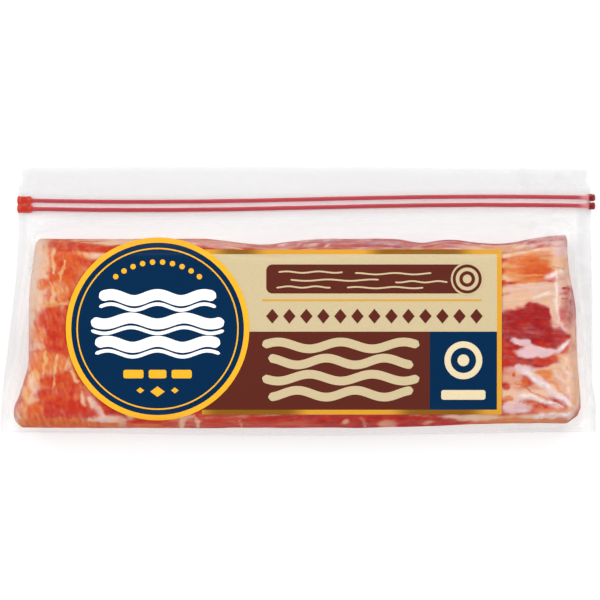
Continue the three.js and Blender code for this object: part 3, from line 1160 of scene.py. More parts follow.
@dataclass
class Slab:
    """The stack of rashers: two columns of slices, the lower ones standing out past the top pair."""

    plan: PackPlan
    form: BagForm
    layers: int = 7
    top_cells: tuple[int, int] = (400, 84)
    lowest_cells: tuple[int, int] = (170, 34)
    inner_cells: tuple[int, int] = (150, 16)
    crowding: float = 1.55
    shift_step: float = 0.11
    drift_step: float = 7.0
    clearance: float = 0.42
    rim: float = 1.6
    fill: float = 0.49
    relief: float = 0.12
    least_upper: float = 0.5
    least_room: float = 0.3
    column_line: float = -2.4
    column_step: Ramp = Ramp(90.0, 40.0, 2.6)
    column_wander: float = 0.8
    column_gap: float = 0.02
    seam_rim: float = 1.4
    seam_share: float = 0.965
    tuck: float = 0.7
    most_tuck: float = 2.1
    hug: float = 1.2
    hug_head: float = 5.4
    left_end: float = -130.0
    right_end: float = 136.0
    left_start: float = -1.0
    left_draw: tuple[Ramp, ...] = (Ramp(16.0, -30.0, 2.2), Ramp(-22.0, -14.0, 2.1), Ramp(-46.0, -10.0, -2.6))
    right_swell: Swell = Swell(-4.0, 14.0, 1.5)
    head_share: float = 0.4
    head_steps: tuple[Ramp, Ramp] = (Ramp(-60.0, 60.0, 0.6), Ramp(80.0, 40.0, 0.35))
    left_corner: float = 7.5
    right_corner: float = 9.5
    left_head_corners: tuple[float, ...] = (2.0, 2.0, 3.0, 4.5, 6.5, 8.5, 10.5)
    right_head_corner: float = 1.2
    left_insets: tuple[float, ...] = (3.2, 1.6, 0.8, 0.4, 0.3, 0.2, 0.2)
    right_insets: tuple[float, ...] = (3.0, 1.6, 0.8, 0.4, 0.5, 1.2, 3.4)
    head_insets: tuple[float, ...] = (2.4, 1.0, 0.6, 0.0, 0.8, 2.0, 4.2)
    foot_insets: tuple[float, ...] = (2.6, 1.4, 0.7, 0.3, 0.1, 0.1, 0.3)

    def build(self, meat: Material) -> None:
        """Builds every rasher from the bottom layer up.

        Args:
            meat: the material.
        """
        for layer in range(self.layers):
            for column in Column:
                self.build_rasher(layer, column, meat)

    def edges(self, layer: int, column: Column) -> Outline:
        """The outline of one rasher, with its own slight wander.

        Args:
            layer: 0 for the bottom layer.
            column: which of the layer's two rashers.

        Returns:
            Its outline on plan.
        """
        slab = self.plan.slab()
        grain, shared = Grain(40 + 2 * layer + (column is Column.HEAD)), Grain(20 + layer)

        def middle(x: Field) -> Field:
            """The line where the two columns of slices meet."""
            wave = self.column_wander * shared.at(x / 26.0, 0.5 + 0.0 * x)
            return self.column_line + self.column_step.at(x) + wave

        def wander(t: Field, row: float, size: float) -> Field:
            """A rasher's own unevenness along an edge."""
            return size * (0.5 + 0.5 * grain.layered(t / 17.0, row + 0.0 * t, 2))

        def nook(beyond: Field, radius: float) -> Field:
            """How far a round corner draws an end in, beyond the height where it starts to turn."""
            return radius * (1.0 - np.sqrt(1.0 - np.clip(beyond / radius, 0.0, 1.0) ** 2))

        def crest(x: Number) -> Number:
            """The slab's head less this layer's step back, which is more towards the right."""
            near, far = (step.at(x) for step in self.head_steps)
            return slab.head(x) - self.head_insets[layer] * (self.head_share + near + far)

        def corners(y: Field, end: float, low_turn: float, high_turn: float) -> Field:
            """What both corners of an end take from it: the foot's and the head's, each of its own radius."""
            return nook(slab.foot(end) + low_turn - y, low_turn) + nook(y - crest(end) + high_turn, high_turn)

        def left(y: Field) -> Field:
            """The rasher's left end.

            Args:
                y: heights on plan.

            Returns:
                The end's x at each.
            """
            drawn = self.left_start + sum(ramp.at(y) for ramp in self.left_draw)
            turned = corners(y, self.left_end, self.left_corner, self.left_head_corners[layer])
            return slab.left(y) + (self.left_insets[layer] + drawn + turned) + wander(y, row=3.5, size=0.8)

        def right(y: Field) -> Field:
            """The rasher's right end.

            Args:
                y: heights on plan.

            Returns:
                The end's x at each.
            """
            turned = corners(y, self.right_end, self.right_corner, self.right_head_corner)
            swollen = slab.right(y) - (self.right_insets[layer] + turned) + self.right_swell.at(y)
            return swollen - wander(y, row=8.5, size=1.2)

        def low(x: Field) -> Field:
            """The rasher's foot edge."""
            return slab.foot(x) + self.foot_insets[layer] + wander(x, row=13.5, size=0.6)

        def high(x: Field) -> Field:
            """The rasher's head edge."""
            return crest(x) - wander(x, row=18.5, size=0.8)

        if column is Column.FOOT:
            return Outline(left, right, low, lambda x: middle(x) - self.column_gap)
        return Outline(left, right, lambda x: middle(x) + self.column_gap, high)

    def build_rasher(self, layer: int, column: Column, meat: Material) -> None:
        """Builds one rasher, fine where it is the top one and coarser where only its edges show.

        Args:
            layer: 0 for the bottom layer.
            column: which of the layer's two rashers.
            meat: the material.
        """
        top, lowest = layer == self.layers - 1, layer == 0
        cells = self.top_cells if top else self.lowest_cells if lowest else self.inner_cells
        piece = closed_grid(f"rasher_{layer + 1}_{column.value}", *cells)
        unit = points_of(piece)
        u, v, upper = unit[:, 0] + 0.5, unit[:, 1] + 0.5, unit[:, 2] > 0.5
        if top:
            u = crowded(u, self.crowding)
        outline = self.edges(layer, column)
        x, y = outline.spread(u, v)
        move_points(piece, x, y, self.heights(x, y, upper, layer, column, outline))
        marbling = Marbling(
            seed=7 + 3 * layer + (column is Column.HEAD), marks=ALL_MARKS,
            shift=0.0 if top else self.shift_step * ((3 * layer) % 5 - 2),
            drift=0.0 if top else self.drift_step * ((5 * layer) % 7 - 3),
        )
        for name, values in zip(("fat", "warmth", "upright"), marbling.paint(x, y, v)):
            stain(piece, name, values)
        finish_piece(piece, meat)

    def heights(
        self, x: Field, y: Field, upper: Field, layer: int, column: Column, outline: Outline
    ) -> Field:
        """Heights of a rasher's points: an even share of the room between the webs, with round edges.

        Args:
            x: the points' x.
            y: the points' y.
            upper: which points are on the rasher's upper side.
            layer: 0 for the bottom layer.
            column: which of the layer's two rashers.
            outline: the rasher's outline.

        Returns:
            The heights.
        """
        roof, floor = self.space(x, y)
        thick = (roof - floor) / self.layers
        centre = floor + thick * (layer + 0.5)
        sides = np.minimum(x - outline.left(y), outline.right(y) - x)
        outer, seam = y - outline.foot(x), outline.head(x) - y
        if column is Column.HEAD:
            outer, seam = seam, outer
        edge = np.clip(np.minimum(sides, outer) / self.rim, 0.0, 1.0)
        half = thick * self.fill * np.sqrt(1.0 - (1.0 - edge) ** 2)
        half = half * mix(self.seam_share, 1.0, smooth(seam / self.seam_rim))
        above, below = self.layers - 1 - layer, layer
        grain = Grain(90 + 2 * layer + (column is Column.HEAD))
        relief = 0.0 if above else self.relief * grain.layered(x / 7.0, y / 2.5) - self.relief
        z = np.where(upper, centre + half + relief, centre - half)
        ceiling = self.form.front_at(x, y) - self.clearance - min(self.tuck * above, self.most_tuck)
        base = self.form.back_at(x, y) + self.clearance + min(self.tuck * below, self.most_tuck)
        return np.where(
            upper, np.clip(z, base + self.least_upper, ceiling), np.clip(z, base, ceiling - self.least_room)
        )

    def space(self, x: Field, y: Field) -> tuple[Field, Field]:
        """The room that meat can fill, taken a little inside the slab's outline.

        Args:
            x: the points' x.
            y: the points' y.

        Returns:
            The highest and the lowest that it can reach.
        """
        inside = self.plan.slab()
        px = np.clip(x, inside.left(y) + self.hug, inside.right(y) - self.hug)
        py = np.clip(y, inside.foot(px) + self.hug, inside.head(px) - self.hug_head)
        return self.form.front_at(px, py) - self.clearance, self.form.back_at(px, py) + self.clearance


@dataclass(frozen=True)
class Crease:
    """A ridge in the film along a line, and a painted highlight along it: the film painted milky white where
    the crease would shine.
    """

    points: tuple[Point, ...]
    height: float
    width: float
    # how strong the painted highlight along the crease is
    white: float = 0.0

    def rise(self, x: Field, y: Field) -> Field:
        """How far the film stands up at each point."""
        distance, along = line_distance(self.points, x, y)
        return self.height * bell(distance / self.width) * np.sin(math.pi * np.clip(along, 0.08, 0.92))

    def glare_whiteness(self, x: Field, y: Field) -> Field:
        """How milky the film is painted along the crease, as a painted highlight.

        Args:
            x: the points' x.
            y: the points' y.

        Returns:
            The whiteness at each point.
        """
        distance, along = line_distance(self.points, x, y)
        ends = smooth(np.minimum(along, 1.0 - along) / 0.2)
        return self.white * bell(distance / (self.width * mix(0.6, 1.0, ends))) * ends


@dataclass
class Pouch:
    """The two webs of clear film, welded down both sides and folded at the foot."""

    plan: PackPlan
    form: BagForm
    across: int = 372
    up: int = 176
    lip_step: Ramp = Ramp(6.0, 6.0, 1.4)
    lip_opening: Ramp = Ramp(7.0, 4.0, 1.0)
    # painted shade: greyer milk on the lip, the flanges and the film beside the meat
    lip_grey: Ramp = Ramp(-6.0, 10.0, 1.0)
    flange_grey: Ramp = Ramp(1.0, 5.0, 1.0)
    beside_grey: Ramp = Ramp(0.0, -3.0, 0.62)
    beside_haze: Ramp = Ramp(0.5, -3.0, 0.56)
    edge_haze: Swell = Swell(0.0, 1.8, 0.07)
    steep_clear: Ramp = Ramp(0.4, 1.0, 0.75)
    # painted sheen: milk laid along the slab's left and right ends, where the film turns down over them
    left_rim_sheen: Swell = Swell(2.0, 2.8, 0.34)
    right_rim_sheen: Swell = Swell(0.5, 2.2, 0.16)
    rim_end: Ramp = Ramp(-5.0, 5.0, 1.0)
    side_seal: Ramp = Ramp(8.5, -3.0, 1.0)
    foot_seal: Ramp = Ramp(3.6, -1.6, 1.0)
    webs_part: Ramp = Ramp(1.1, 1.6, 1.0)
    off_tape: Ramp = Ramp(6.0, 2.5, 1.0)
    weld_gap: float = 0.06
    weld_calm: float = 0.85
    swell: float = 0.26
    fold: float = 0.14
    fold_middle: float = 0.4
    pleat: float = 0.25
    tent_start: Ramp = Ramp(-3.0, 4.0, 1.0)
    tent_end: Ramp = Ramp(-9.0, 3.0, 1.0)
    least_loose: float = 0.06
    loose_right: Ramp = Ramp(101.0, 8.0, 1.0)
    loose_left: Ramp = Ramp(-112.0, -10.0, 0.5)
    loose_foot: Ramp = Ramp(-57.5, -3.0, 0.3)
    loose_head: Ramp = Ramp(25.0, 3.0, 0.5)
    beside_calm: Ramp = Ramp(0.0, -3.0, 0.7)
    glossy_patch: Ramp = Ramp(-0.1, 0.3, 0.7)
    patches_start: Ramp = Ramp(104.0, 8.0, 1.0)
    full_gloss: float = 0.4
    bend: float = 1.3
    slope_reach: float = 0.8
    # Each crease's last number, where given, is the strength of the painted highlight along it.
    creases: tuple[Crease, ...] = (
        Crease(((121, 10.8), (127, 12.2), (133, 14.2)), 0.7, 1.3, 0.95),
        Crease(((128.8, 15), (128.4, 6), (127.7, -3)), 0.8, 1.7, 0.7),
        Crease(((127.7, 3), (128.2, -6), (129.8, -13)), 0.6, 1.6, 0.35),
        Crease(((114, 1.6), (121, 2.4), (128, 2.8)), 0.45, 1.1, 0.7),
        Crease(((112, 5.8), (120, 6.4), (128, 6)), 0.4, 1.2, 0.2),
        Crease(((128.6, -25.4), (132, -22.4), (136, -20)), 0.5, 1.1, 0.7),
        Crease(((115, -58.2), (127, -56.6), (139, -57.8)), 0.6, 1.3, 0.8),
        Crease(((107.5, -32.4), (114.6, -36.9), (119, -40), (124.6, -44), (131.9, -49), (139.5, -55.2)),
               0.7, 1.5, 0.75),
        Crease(((106.5, -46.8), (116, -48.6), (124, -51), (133, -53.8)), 0.5, 1.2, 0.7),
        Crease(((126, -32), (128.5, -38), (133.5, -42.5)), 0.4, 0.9, 0.4),
        Crease(((130, -31), (132.6, -36), (138, -39.5)), 0.35, 0.9, 0.3),
        Crease(((131, 6), (134, 6.4), (138, 5.6)), 0.45, 0.9),
        Crease(((131, 0.6), (135, 0.8), (139, 0)), 0.45, 0.9, 0.2),
        Crease(((124, 30), (131, 30.4), (137, 29.4)), 0.5, 1.4),
        Crease(((104, 26), (118, 27.6), (134, 29)), 0.4, 1.2, 0.35),
        Crease(((137, 20), (138, 0), (140, -22)), 0.3, 1.3, 0.15),
        Crease(((28, 30), (42, 28.6), (58, 27)), 0.3, 0.9, 0.4),
        Crease(((-4, 28.6), (10, 30.2), (26, 29.4)), 0.3, 0.8, 0.3),
        Crease(((-131.5, 27), (-131.8, 19), (-133.2, 10)), 0.35, 2.2, 0.5),
        Crease(((-134, -2), (-131.5, -8), (-132.5, -18)), 0.35, 1.6, 0.2),
        Crease(((-134.5, -36), (-131, -45), (-134, -55)), 0.35, 1.8, 0.3),
        Crease(((-106, -46), (-101, -53), (-96, -61)), 0.4, 1.4, 0.2),
    )

    def build(self, film: Material) -> Piece:
        """Builds the front and back webs.

        Args:
            film: their material.

        Returns:
            The front web.
        """
        front = self.build_web("film_front", film, self.across, self.up, True)
        self.build_web("film_back", film, self.across // 2, self.up // 2, False)
        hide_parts("bag")
        return front

    def build_web(self, name: str, film: Material, across: int, up: int, front: bool) -> Piece:
        """Builds one web.

        Args:
            name: the piece's name.
            film: its material.
            across: cells from left to right.
            up: cells from foot to lip.
            front: whether it is the printed web.

        Returns:
            The web.
        """
        piece = sheet_grid(name, across, up)
        unit = points_of(piece)
        x, y = self.plan.pouch().spread(unit[:, 0] + 0.5, unit[:, 1] + 0.5)
        if front:
            y = y - self.lip_step.at(y - self.plan.zip_line(x))
        move_points(piece, x, y, self.web_height(x, y, front))
        stain(piece, "haze_and_glare", self.haze_and_glare(x, y))
        stain(piece, "shade", self.shade(x, y))
        stain(piece, "loose", self.loose(x, y))
        if not front:
            edit(piece)
            bpy.ops.mesh.flip_normals()
            close_edit()
        finish_piece(piece, film, 80.0)
        return piece

    def web_height(self, x: Field, y: Field, front: bool) -> Field:
        """Height of a web: the bag's own, welded to the other web in the seals, and creased.

        Args:
            x: the points' x.
            y: the points' y.
            front: whether it is the printed web.

        Returns:
            The heights.
        """
        pouch, past_zip = self.plan.pouch(), y - self.plan.zip_line(x)
        high, low = self.form.front_at(x, y), self.form.back_at(x, y)
        middle = (high + low) / 2
        sides = np.minimum(x - pouch.left(y), pouch.right(y) - x)
        seal = np.maximum(self.side_seal.at(sides), self.foot_seal.at(y - pouch.foot(x)))
        weld = seal * (1.0 - self.webs_part.at(high - low)) * self.off_tape.at(np.abs(past_zip))
        if not front:
            return mix(low, middle - self.weld_gap, weld)
        grain, fine = Grain(3), Grain(4)
        folds = self.fold_middle - np.abs(fine.layered(x / 5.5, y / 4.0, 2))
        ripples = self.swell * grain.layered(x / 9.0, y / 6.5, 3) + self.fold * folds
        tent = self.tent_start.at(y - self.plan.head_line(x)) * (1.0 - self.tent_end.at(past_zip))
        pleats = self.pleat * tent * grain.layered(x / 6.0, y / 30.0, 2)
        open_lip = self.lip_opening.at(past_zip) * (0.2 + 0.15 * fine.layered(x / 34.0, y / 50.0, 2))
        lift = self.slack(x, y) * ripples + pleats + open_lip + self.ridges(x, y)
        return mix(high, middle + self.weld_gap, weld) + lift * (1.0 - self.weld_calm * weld)

    def bent(self, x: Field, y: Field) -> tuple[Field, Field]:
        """Points moved a little, so that creases laid through them run less straight."""
        grain, u, v = Grain(6), x / 7.0, y / 7.0
        return x + self.bend * grain.at(u, v), y + self.bend * grain.at(u + 50.0, v + 50.0)

    def ridges(self, x: Field, y: Field) -> Field:
        """How far the creases stand up."""
        return sum(crease.rise(*self.bent(x, y)) for crease in self.creases)

    def loose(self, x: Field, y: Field) -> Field:
        """Where the film shines: on its creases, and in patches past the label's right end."""
        patches = self.glossy_patch.at(Grain(5).layered(x / 9.0, y / 7.0, 2)) * self.patches_start.at(x)
        return np.maximum(self.ridges(x, y) / self.full_gloss, patches)

    def slack(self, x: Field, y: Field) -> Field:
        """Where the film is loose: past the label at the right end most, at the left end less.

        Args:
            x: the points' x.
            y: the points' y.

        Returns:
            The looseness at each point.
        """
        slab = self.plan.slab()
        ends = np.maximum(self.loose_right.at(x), self.loose_left.at(x))
        rims = np.maximum(self.loose_foot.at(y), self.loose_head.at(y))
        loose = self.least_loose + (1.0 - self.least_loose) * np.maximum(ends, rims)
        return loose * (1.0 - self.beside_calm.at(np.minimum(x - slab.left(y), slab.right(y) - x)))

    def haze_and_glare(self, x: Field, y: Field) -> Field:
        """Where the film is milky: beside the meat where it isn't steep; over its two ends, as a painted
        sheen; and on creases, as painted highlights.

        Args:
            x: the points' x.
            y: the points' y.

        Returns:
            The milkiness at each point.
        """
        slab = self.plan.slab()
        depth = slab.depth(x, y)
        beside = self.beside_haze.at(depth) + self.edge_haze.at(depth)
        plain = beside * (1.0 - self.steep_clear.at(self.slope(x, y)))
        # painted sheen along the slab's two ends
        rims = np.maximum(self.left_rim_sheen.at(x - slab.left(y)), self.right_rim_sheen.at(slab.right(y) - x))
        # painted highlights: milk laid along the creases where they would shine
        painted_glare, bent = 0.0, self.bent(x, y)
        for crease in self.creases:
            painted_glare = np.maximum(painted_glare, crease.glare_whiteness(*bent))
        broken = np.clip(0.75 + 0.6 * Grain(8).layered(x / 3.2, y / 2.2, 2), 0.25, 1.0)
        return np.maximum(np.maximum(plain, rims * self.rim_end.at(depth)), painted_glare * broken)

    def slope(self, x: Field, y: Field) -> Field:
        """How steep the front web is.

        Args:
            x: the points' x.
            y: the points' y.

        Returns:
            Its rise over a short run to each side of each point.
        """
        reach, front_at = self.slope_reach, self.form.front_at
        across = front_at(x + reach, y) - front_at(x - reach, y)
        up = front_at(x, y + reach) - front_at(x, y - reach)
        return np.hypot(across, up) / (2.0 * reach)

    def shade(self, x: Field, y: Field) -> Field:
        """Where the milkiness is grey, not white: most on the lip and the flanges, which lie flat in full
        light, less on the rest of the film beside the meat, where the slab shades it. Partly the film's own
        grey, partly painted shade that evens out the light.

        Args:
            x: the points' x.
            y: the points' y.

        Returns:
            The grey's share at each point.
        """
        slab = self.plan.slab()
        lip = self.lip_grey.at(y - self.plan.zip_line(x))
        flange = self.flange_grey.at(np.maximum(slab.left(y) - x, x - slab.right(y)))
        return np.maximum(np.maximum(lip, flange), self.beside_grey.at(slab.depth(x, y)))


@dataclass
class ZipRib:
    """One red rib of the zip, along its CAD node's own line, with pressed ends."""

    node: str
    cross_cells: int = 16
    along_cells: int = 420
    crowding: float = 1.7
    swell: float = 1.42
    left_half: float = 2.05
    right_half: float = 1.75
    left_reach: float = 0.8
    left_press: Ramp = Ramp(6.4, 1.8, 1.0)
    right_press: Ramp = Ramp(3.2, 1.2, 1.0)
    lump: float = 0.2
    tip: float = 0.5
    wave: float = 0.05
    groove: float = 0.22
    groove_width: float = 0.35
    flattened: Ramp = Ramp(6.4, 1.6, 1.0)
    bruised: Ramp = Ramp(-3.8, 1.0, 1.0)
    faded: Ramp = Ramp(-9.0, 3.5, 1.0)
    weld_reach: float = 1e-6

    def rings(self) -> tuple[Field, Field, Field, Field, Field]:
        """Reads the node's rings.

        Returns:
            Their x, their middle's y and z, and half their width and height.
        """
        points = points_of(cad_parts[self.node]) / MM
        keys = np.round(points[:, 0], 2)
        found = [points[keys == key] for key in np.unique(keys)]
        found = [ring for ring in found if len(ring) > 3]
        x = np.array([ring[:, 0].mean() for ring in found])
        y, z = (np.array([(r[:, axis].max() + r[:, axis].min()) / 2 for r in found]) for axis in (1, 2))
        width, height = (np.array([np.ptp(r[:, axis]) / 2 for r in found]) for axis in (1, 2))
        return x, y, z, width, height

    def build(self, plastic: Material, seed: int) -> None:
        """Builds the rib, which stands for its CAD node.

        Args:
            plastic: its material.
            seed: what the lumps of its pressed ends start from.
        """
        piece = sheet_grid(f"{self.node}_moulded", self.along_cells, self.cross_cells)
        unit = points_of(piece)
        turn = (unit[:, 1] + 0.5) * 2.0 * math.pi
        xs, ys, zs, widths, heights = self.rings()
        x = mix(xs[0] - self.left_reach, xs[-1], crowded(unit[:, 0] + 0.5, self.crowding))
        width, height = np.interp(x, xs, widths), np.interp(x, xs, heights)
        grain = Grain(seed)
        ends = np.minimum(x - xs[0] + self.left_reach, xs[-1] - x)
        pressed = 1.0 - np.where(x < 0.0, self.left_press.at(ends), self.right_press.at(ends))
        lumps = 1.0 + pressed * self.lump * grain.layered(x / 1.7, turn, 2)
        tip = np.sqrt(np.clip(ends / self.tip, 0.0, 1.0))
        wave = self.wave * grain.at(x / 14.0, 0.0 * x)
        groove = 1.0 - self.groove * (1.0 - pressed) * bell((turn - math.pi / 2) / self.groove_width)
        width = mix(width * self.swell, np.where(x < 0.0, self.left_half, self.right_half), pressed)
        y = np.interp(x, xs, ys) + wave + width * lumps * tip * np.cos(turn)
        z = np.interp(x, xs, zs) + height * np.sin(turn) * groove * tip
        move_points(piece, x, y, z)
        weld(piece, self.weld_reach)
        place = points_of(piece)[:, 0] / MM
        stain(piece, "pressed", 1.0 - self.flattened.at(place - xs[0]))
        stain(piece, "bruised", self.bruised.at(place - xs[-1]))
        stain(piece, "faded", self.faded.at(place - xs[-1]))
        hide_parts(self.node)
        finish_piece(piece, plastic)


@dataclass
class ZipTape:
    """The flat strip of faintly pink plastic that carries both ribs, welded to the front web."""

    plan: PackPlan
    film: Probe
    along_cells: int = 240
    cross_cells: int = 12
    half_width: float = 5.4
    thickness: float = 0.09
    lift: float = 0.03
    end_gap: float = 1.2
    # painted glow and shade: the tape turns pinker and less clear round the ribs and just below the lower one
    painted_rib_glow: Swell = Swell(-0.8, 3.2, 1.0)

    def build(self, plastic: Material) -> None:
        """Builds the tape on the film.

        Args:
            plastic: its material.
        """
        piece = closed_grid("zip_tape", self.along_cells, self.cross_cells)
        unit = points_of(piece)
        pouch = self.plan.pouch()
        y0 = np.full(len(unit), self.plan.zip_y)
        x = mix(pouch.left(y0) + self.end_gap, pouch.right(y0) - self.end_gap, unit[:, 0] + 0.5)
        off = 2.0 * self.half_width * unit[:, 1]
        y = self.plan.zip_line(x) + off
        z = self.film.heights(x, y) + self.lift + np.where(unit[:, 2] > 0.5, self.thickness, 0.0)
        move_points(piece, x, y, z)
        stain(piece, "painted_rib_glow", self.painted_rib_glow.at(off))
        finish_piece(piece, plastic, 30.0)


def circle(cx: float, cy: float, radius: float, steps: int = 96) -> list[Point]:
    """The corners of a circle."""
    turns = [2.0 * math.pi * k / steps for k in range(steps)]
    return [(cx + radius * math.cos(a), cy + radius * math.sin(a)) for a in turns]


def oblong(left: float, bottom: float, right: float, top: float, radius: float = 0.0) -> list[Point]:
    """A rectangle, with round corners if it has a radius.

    Args:
        left: its left side's x.
        bottom: its foot's y.
        right: its right side's x.
        top: its head's y.
        radius: the corners' radius.

    Returns:
        Its corners.
    """
    if radius <= 0.0:
        return [(left, bottom), (right, bottom), (right, top), (left, top)]
    x0, x1, y0, y1 = left + radius, right - radius, bottom + radius, top - radius
    corners, steps = [], 8
    for quarter, (cx, cy) in enumerate(((x1, y1), (x0, y1), (x0, y0), (x1, y0))):
        for k in range(steps + 1):
            a = math.pi / 2 * (quarter + k / steps)
            corners.append((cx + radius * math.cos(a), cy + radius * math.sin(a)))
    return corners


def lozenge(cx: float, cy: float, half_width: float, half_height: float) -> list[Point]:
    """The corners of a diamond."""
    return [(cx + half_width, cy), (cx, cy + half_height), (cx - half_width, cy), (cx, cy - half_height)]


def ribbon(x0: float, x1: float, y: float, thick: float, swing: float, waves: float, phase: float = 0.0,
           steps: int = 72) -> list[Point]:
    """A wavy band with rounded ends.

    Args:
        x0: its left end.
        x1: its right end.
        y: the height of its middle line.
        thick: its thickness.
        swing: how far it waves up and down.
        waves: how many whole waves it has.
        phase: where in the wave it starts, in whole waves.
        steps: points along each side.

    Returns:
        The band's outline.
    """
    lower, upper = [], []
    for k in range(steps + 1):
        t = k / steps
        turn = 2.0 * math.pi * (waves * t + phase)
        middle = y + swing * math.sin(turn)
        slope = swing * 2.0 * math.pi * waves * math.cos(turn) / (x1 - x0)
        end = min(t, 1.0 - t) * (x1 - x0)
        half = thick / 2 * math.sqrt(1.0 - (1.0 - min(1.0, (end + 0.02) / (thick / 2))) ** 2)
        nx, ny = -slope / math.hypot(1.0, slope), 1.0 / math.hypot(1.0, slope)
        px = mix(x0, x1, t)
        lower.append((px - nx * half, middle - ny * half))
        upper.append((px + nx * half, middle + ny * half))
    return lower + upper[::-1]


@dataclass(frozen=True)
class Print:
    """One printed shape: outlines, of which those inside another are holes, in one ink."""

    name: str
    outlines: tuple[list[Point], ...]
    ink: str
    layer: int = 0
    node: str | None = None


@dataclass
class Label:
    """The printed front: a round badge over a bordered panel of three fields."""

    film: Probe
    inks: dict[str, Material]
    slots: dict[str, str]
    badge: Point = (-70.0, -14.35)
    radius: float = 45.6
    rim: float = 2.7
    left: float = -40.0
    under_badge: float = 8.0
    right: float = 101.0
    top: float = 25.1
    bottom: float = -57.0
    border: float = 2.4
    split_y: float = -15.75
    split_x: float = 65.2
    cell: float = 2.5
    line_shift: float = 1e-3
    join_reach: float = 1e-4
    dark_top: tuple[Point, ...] = ((-40.0, -20.0), (36.0, 84.0))
    dark_foot: tuple[Point, ...] = ((-47.0, 1.0), (50.0, 90.0))
    foil_edge: float = 4.0
    foil_soft: float = 14.0
    foil_least: float = 0.12
    first_lift: float = 0.10
    layer_lift: float = 0.07
    ink_thickness: float = 0.05
    log: tuple[float, float, float, float] = (-16.0, 91.0, 10.4, 7.2)
    bark: tuple[tuple[float, float, float], ...] = (
        (-10.0, 22.0, 3.4), (28.0, 66.0, 2.6), (-4.0, 40.0, -0.6), (48.0, 74.0, -1.4), (-11.0, 16.0, -4.0),
        (24.0, 62.0, -4.3),
    )
    lozenge_step: float = 8.45
    smoke_rows: tuple[float, ...] = (-22.6, -30.6, -38.6, -46.6)
    ring: tuple[float, ...] = (9.4, 6.3, 2.9)
    waves: tuple[Point, ...] = ((14.0, 29.0), (2.4, 33.0), (-9.2, 31.0))
    dot_arc: float = 33.2
    dot_turn: float = 8.6
    dot_radius: float = 1.35
    bars: tuple[Point, ...] = ((-17.0, -7.0), (-4.4, 4.4), (7.0, 17.0))

    def build(self) -> None:
        """Prints every shape, from the panel up to the badge's motifs."""
        for shape in [*self.panel(), *self.panel_motifs(), *self.badge_fields(), *self.badge_motifs()]:
            self.lay(shape)

    def panel(self) -> list[Print]:
        """The gold border and the three fields that it holds.

        Returns:
            Their prints.
        """
        l, r = self.left - self.under_badge, self.right - self.border
        b, t = self.bottom + self.border, self.top - self.border
        edge = [(l, self.bottom), (self.right, self.bottom), (self.right, self.top), (l, self.top),
                (l, t), (r, t), (r, b), (l, b)]
        fields = (("tan", (l, self.split_y, r, t)), ("brown", (l, b, self.split_x, self.split_y)),
                  ("navy", (self.split_x, b, r, self.split_y)))
        return [Print("print_border", (edge,), "gold", 0, "label_border"), *(
            Print(f"print_{ink}_field", (oblong(*box),), ink, 0, f"label_{ink}_field") for ink, box in fields
        )]

    def panel_motifs(self) -> list[Print]:
        """Plain shapes on the panel: a log and a row of lozenges, smoke, and a ring over a bar.

        Returns:
            Their prints.
        """
        x0, x1, y, half = self.log
        rings = tuple(circle(x1 - half, y, half - cut) for cut in (0.0, 1.5, 3.3, 5.0))
        shapes = [
            Print("print_log", (oblong(x0, y - half, x1 - half, y + half, 3.0),), "brown", 1),
            Print("print_log_face", (circle(x1 - half, y, half + 0.9),), "tan", 2),
            Print("print_log_end", rings, "brown", 3),
        ]
        for k, (a, b, dy) in enumerate(self.bark):
            line = ribbon(a, b, y + dy, 0.8, 0.35, 2.0, 0.2 * k)
            shapes.append(Print(f"print_bark_{k + 1}", (line,), "tan", 2))
        shapes.append(Print("print_rule", (oblong(-18.0, -0.6, 91.0, 0.25),), "gold", 1))
        lozenges = tuple(lozenge(-13.0 + self.lozenge_step * k, -8.1, 3.1, 3.7) for k in range(13))
        shapes.append(Print("print_lozenges", lozenges, "brown", 1))
        for k, y in enumerate(self.smoke_rows):
            wave = ribbon(-18.0 + 3.0 * (k % 2), 60.0 - 3.0 * (k % 2), y, 4.3, 1.7, 2.5, 0.25 * k)
            shapes.append(Print(f"print_smoke_{k + 1}", (wave,), "tan", 1))
        cx = (self.split_x + self.right - self.border) / 2
        shapes.append(Print("print_ring", tuple(circle(cx, -30.0, reach) for reach in self.ring), "cream", 1))
        shapes.append(Print("print_bar", (oblong(cx - 11.0, -49.6, cx + 11.0, -44.8, 1.2),), "cream", 1))
        return shapes

    def badge_fields(self) -> list[Print]:
        """The badge's gold rim, its navy field and the thin ring inside it.

        Returns:
            Their prints.
        """
        inside = self.radius - self.rim
        rim, field, outer, inner = (
            circle(*self.badge, reach) for reach in (self.radius, inside, inside - 2.6, inside - 3.3)
        )
        return [
            Print("print_badge_rim", (rim, field), "badge_gold", 2, "badge_rim"),
            Print("print_badge_field", (field,), "navy", 2, "badge_field"),
            Print("print_badge_ring", (outer, inner), "badge_gold", 3),
        ]

    def badge_motifs(self) -> list[Print]:
        """Plain shapes on the badge: three wavy rashers, dots in an arc above and bars below.

        Returns:
            Their prints.
        """
        cx, cy = self.badge
        shapes = []
        for k, (up, reach) in enumerate(self.waves):
            for name, dy, thick in (("broad", 1.5, 5.4), ("thin", -3.2, 1.7)):
                wave = ribbon(cx - reach, cx + reach, cy + up + dy, thick, 1.5, 2.5, 0.5 * (k % 2))
                shapes.append(Print(f"print_rasher_{k + 1}_{name}", (wave,), "white", 3))
        bars = tuple(oblong(cx + a, cy - 24.6, cx + b, cy - 20.4, 1.0) for a, b in self.bars)
        small = (lozenge(cx + side * 8.6, cy - 30.6, 1.9, 1.5) for side in (-1, 1))
        low = (lozenge(cx, cy - 31.2, 3.6, 2.6), *small)
        dots = tuple(self.arc_dot(math.radians(90.0 + self.dot_turn * (k - 4.5))) for k in range(10))
        for name, outlines in (("dots", dots), ("bars", bars), ("badge_lozenges", low)):
            shapes.append(Print(f"print_{name}", outlines, "badge_gold", 3))
        return shapes

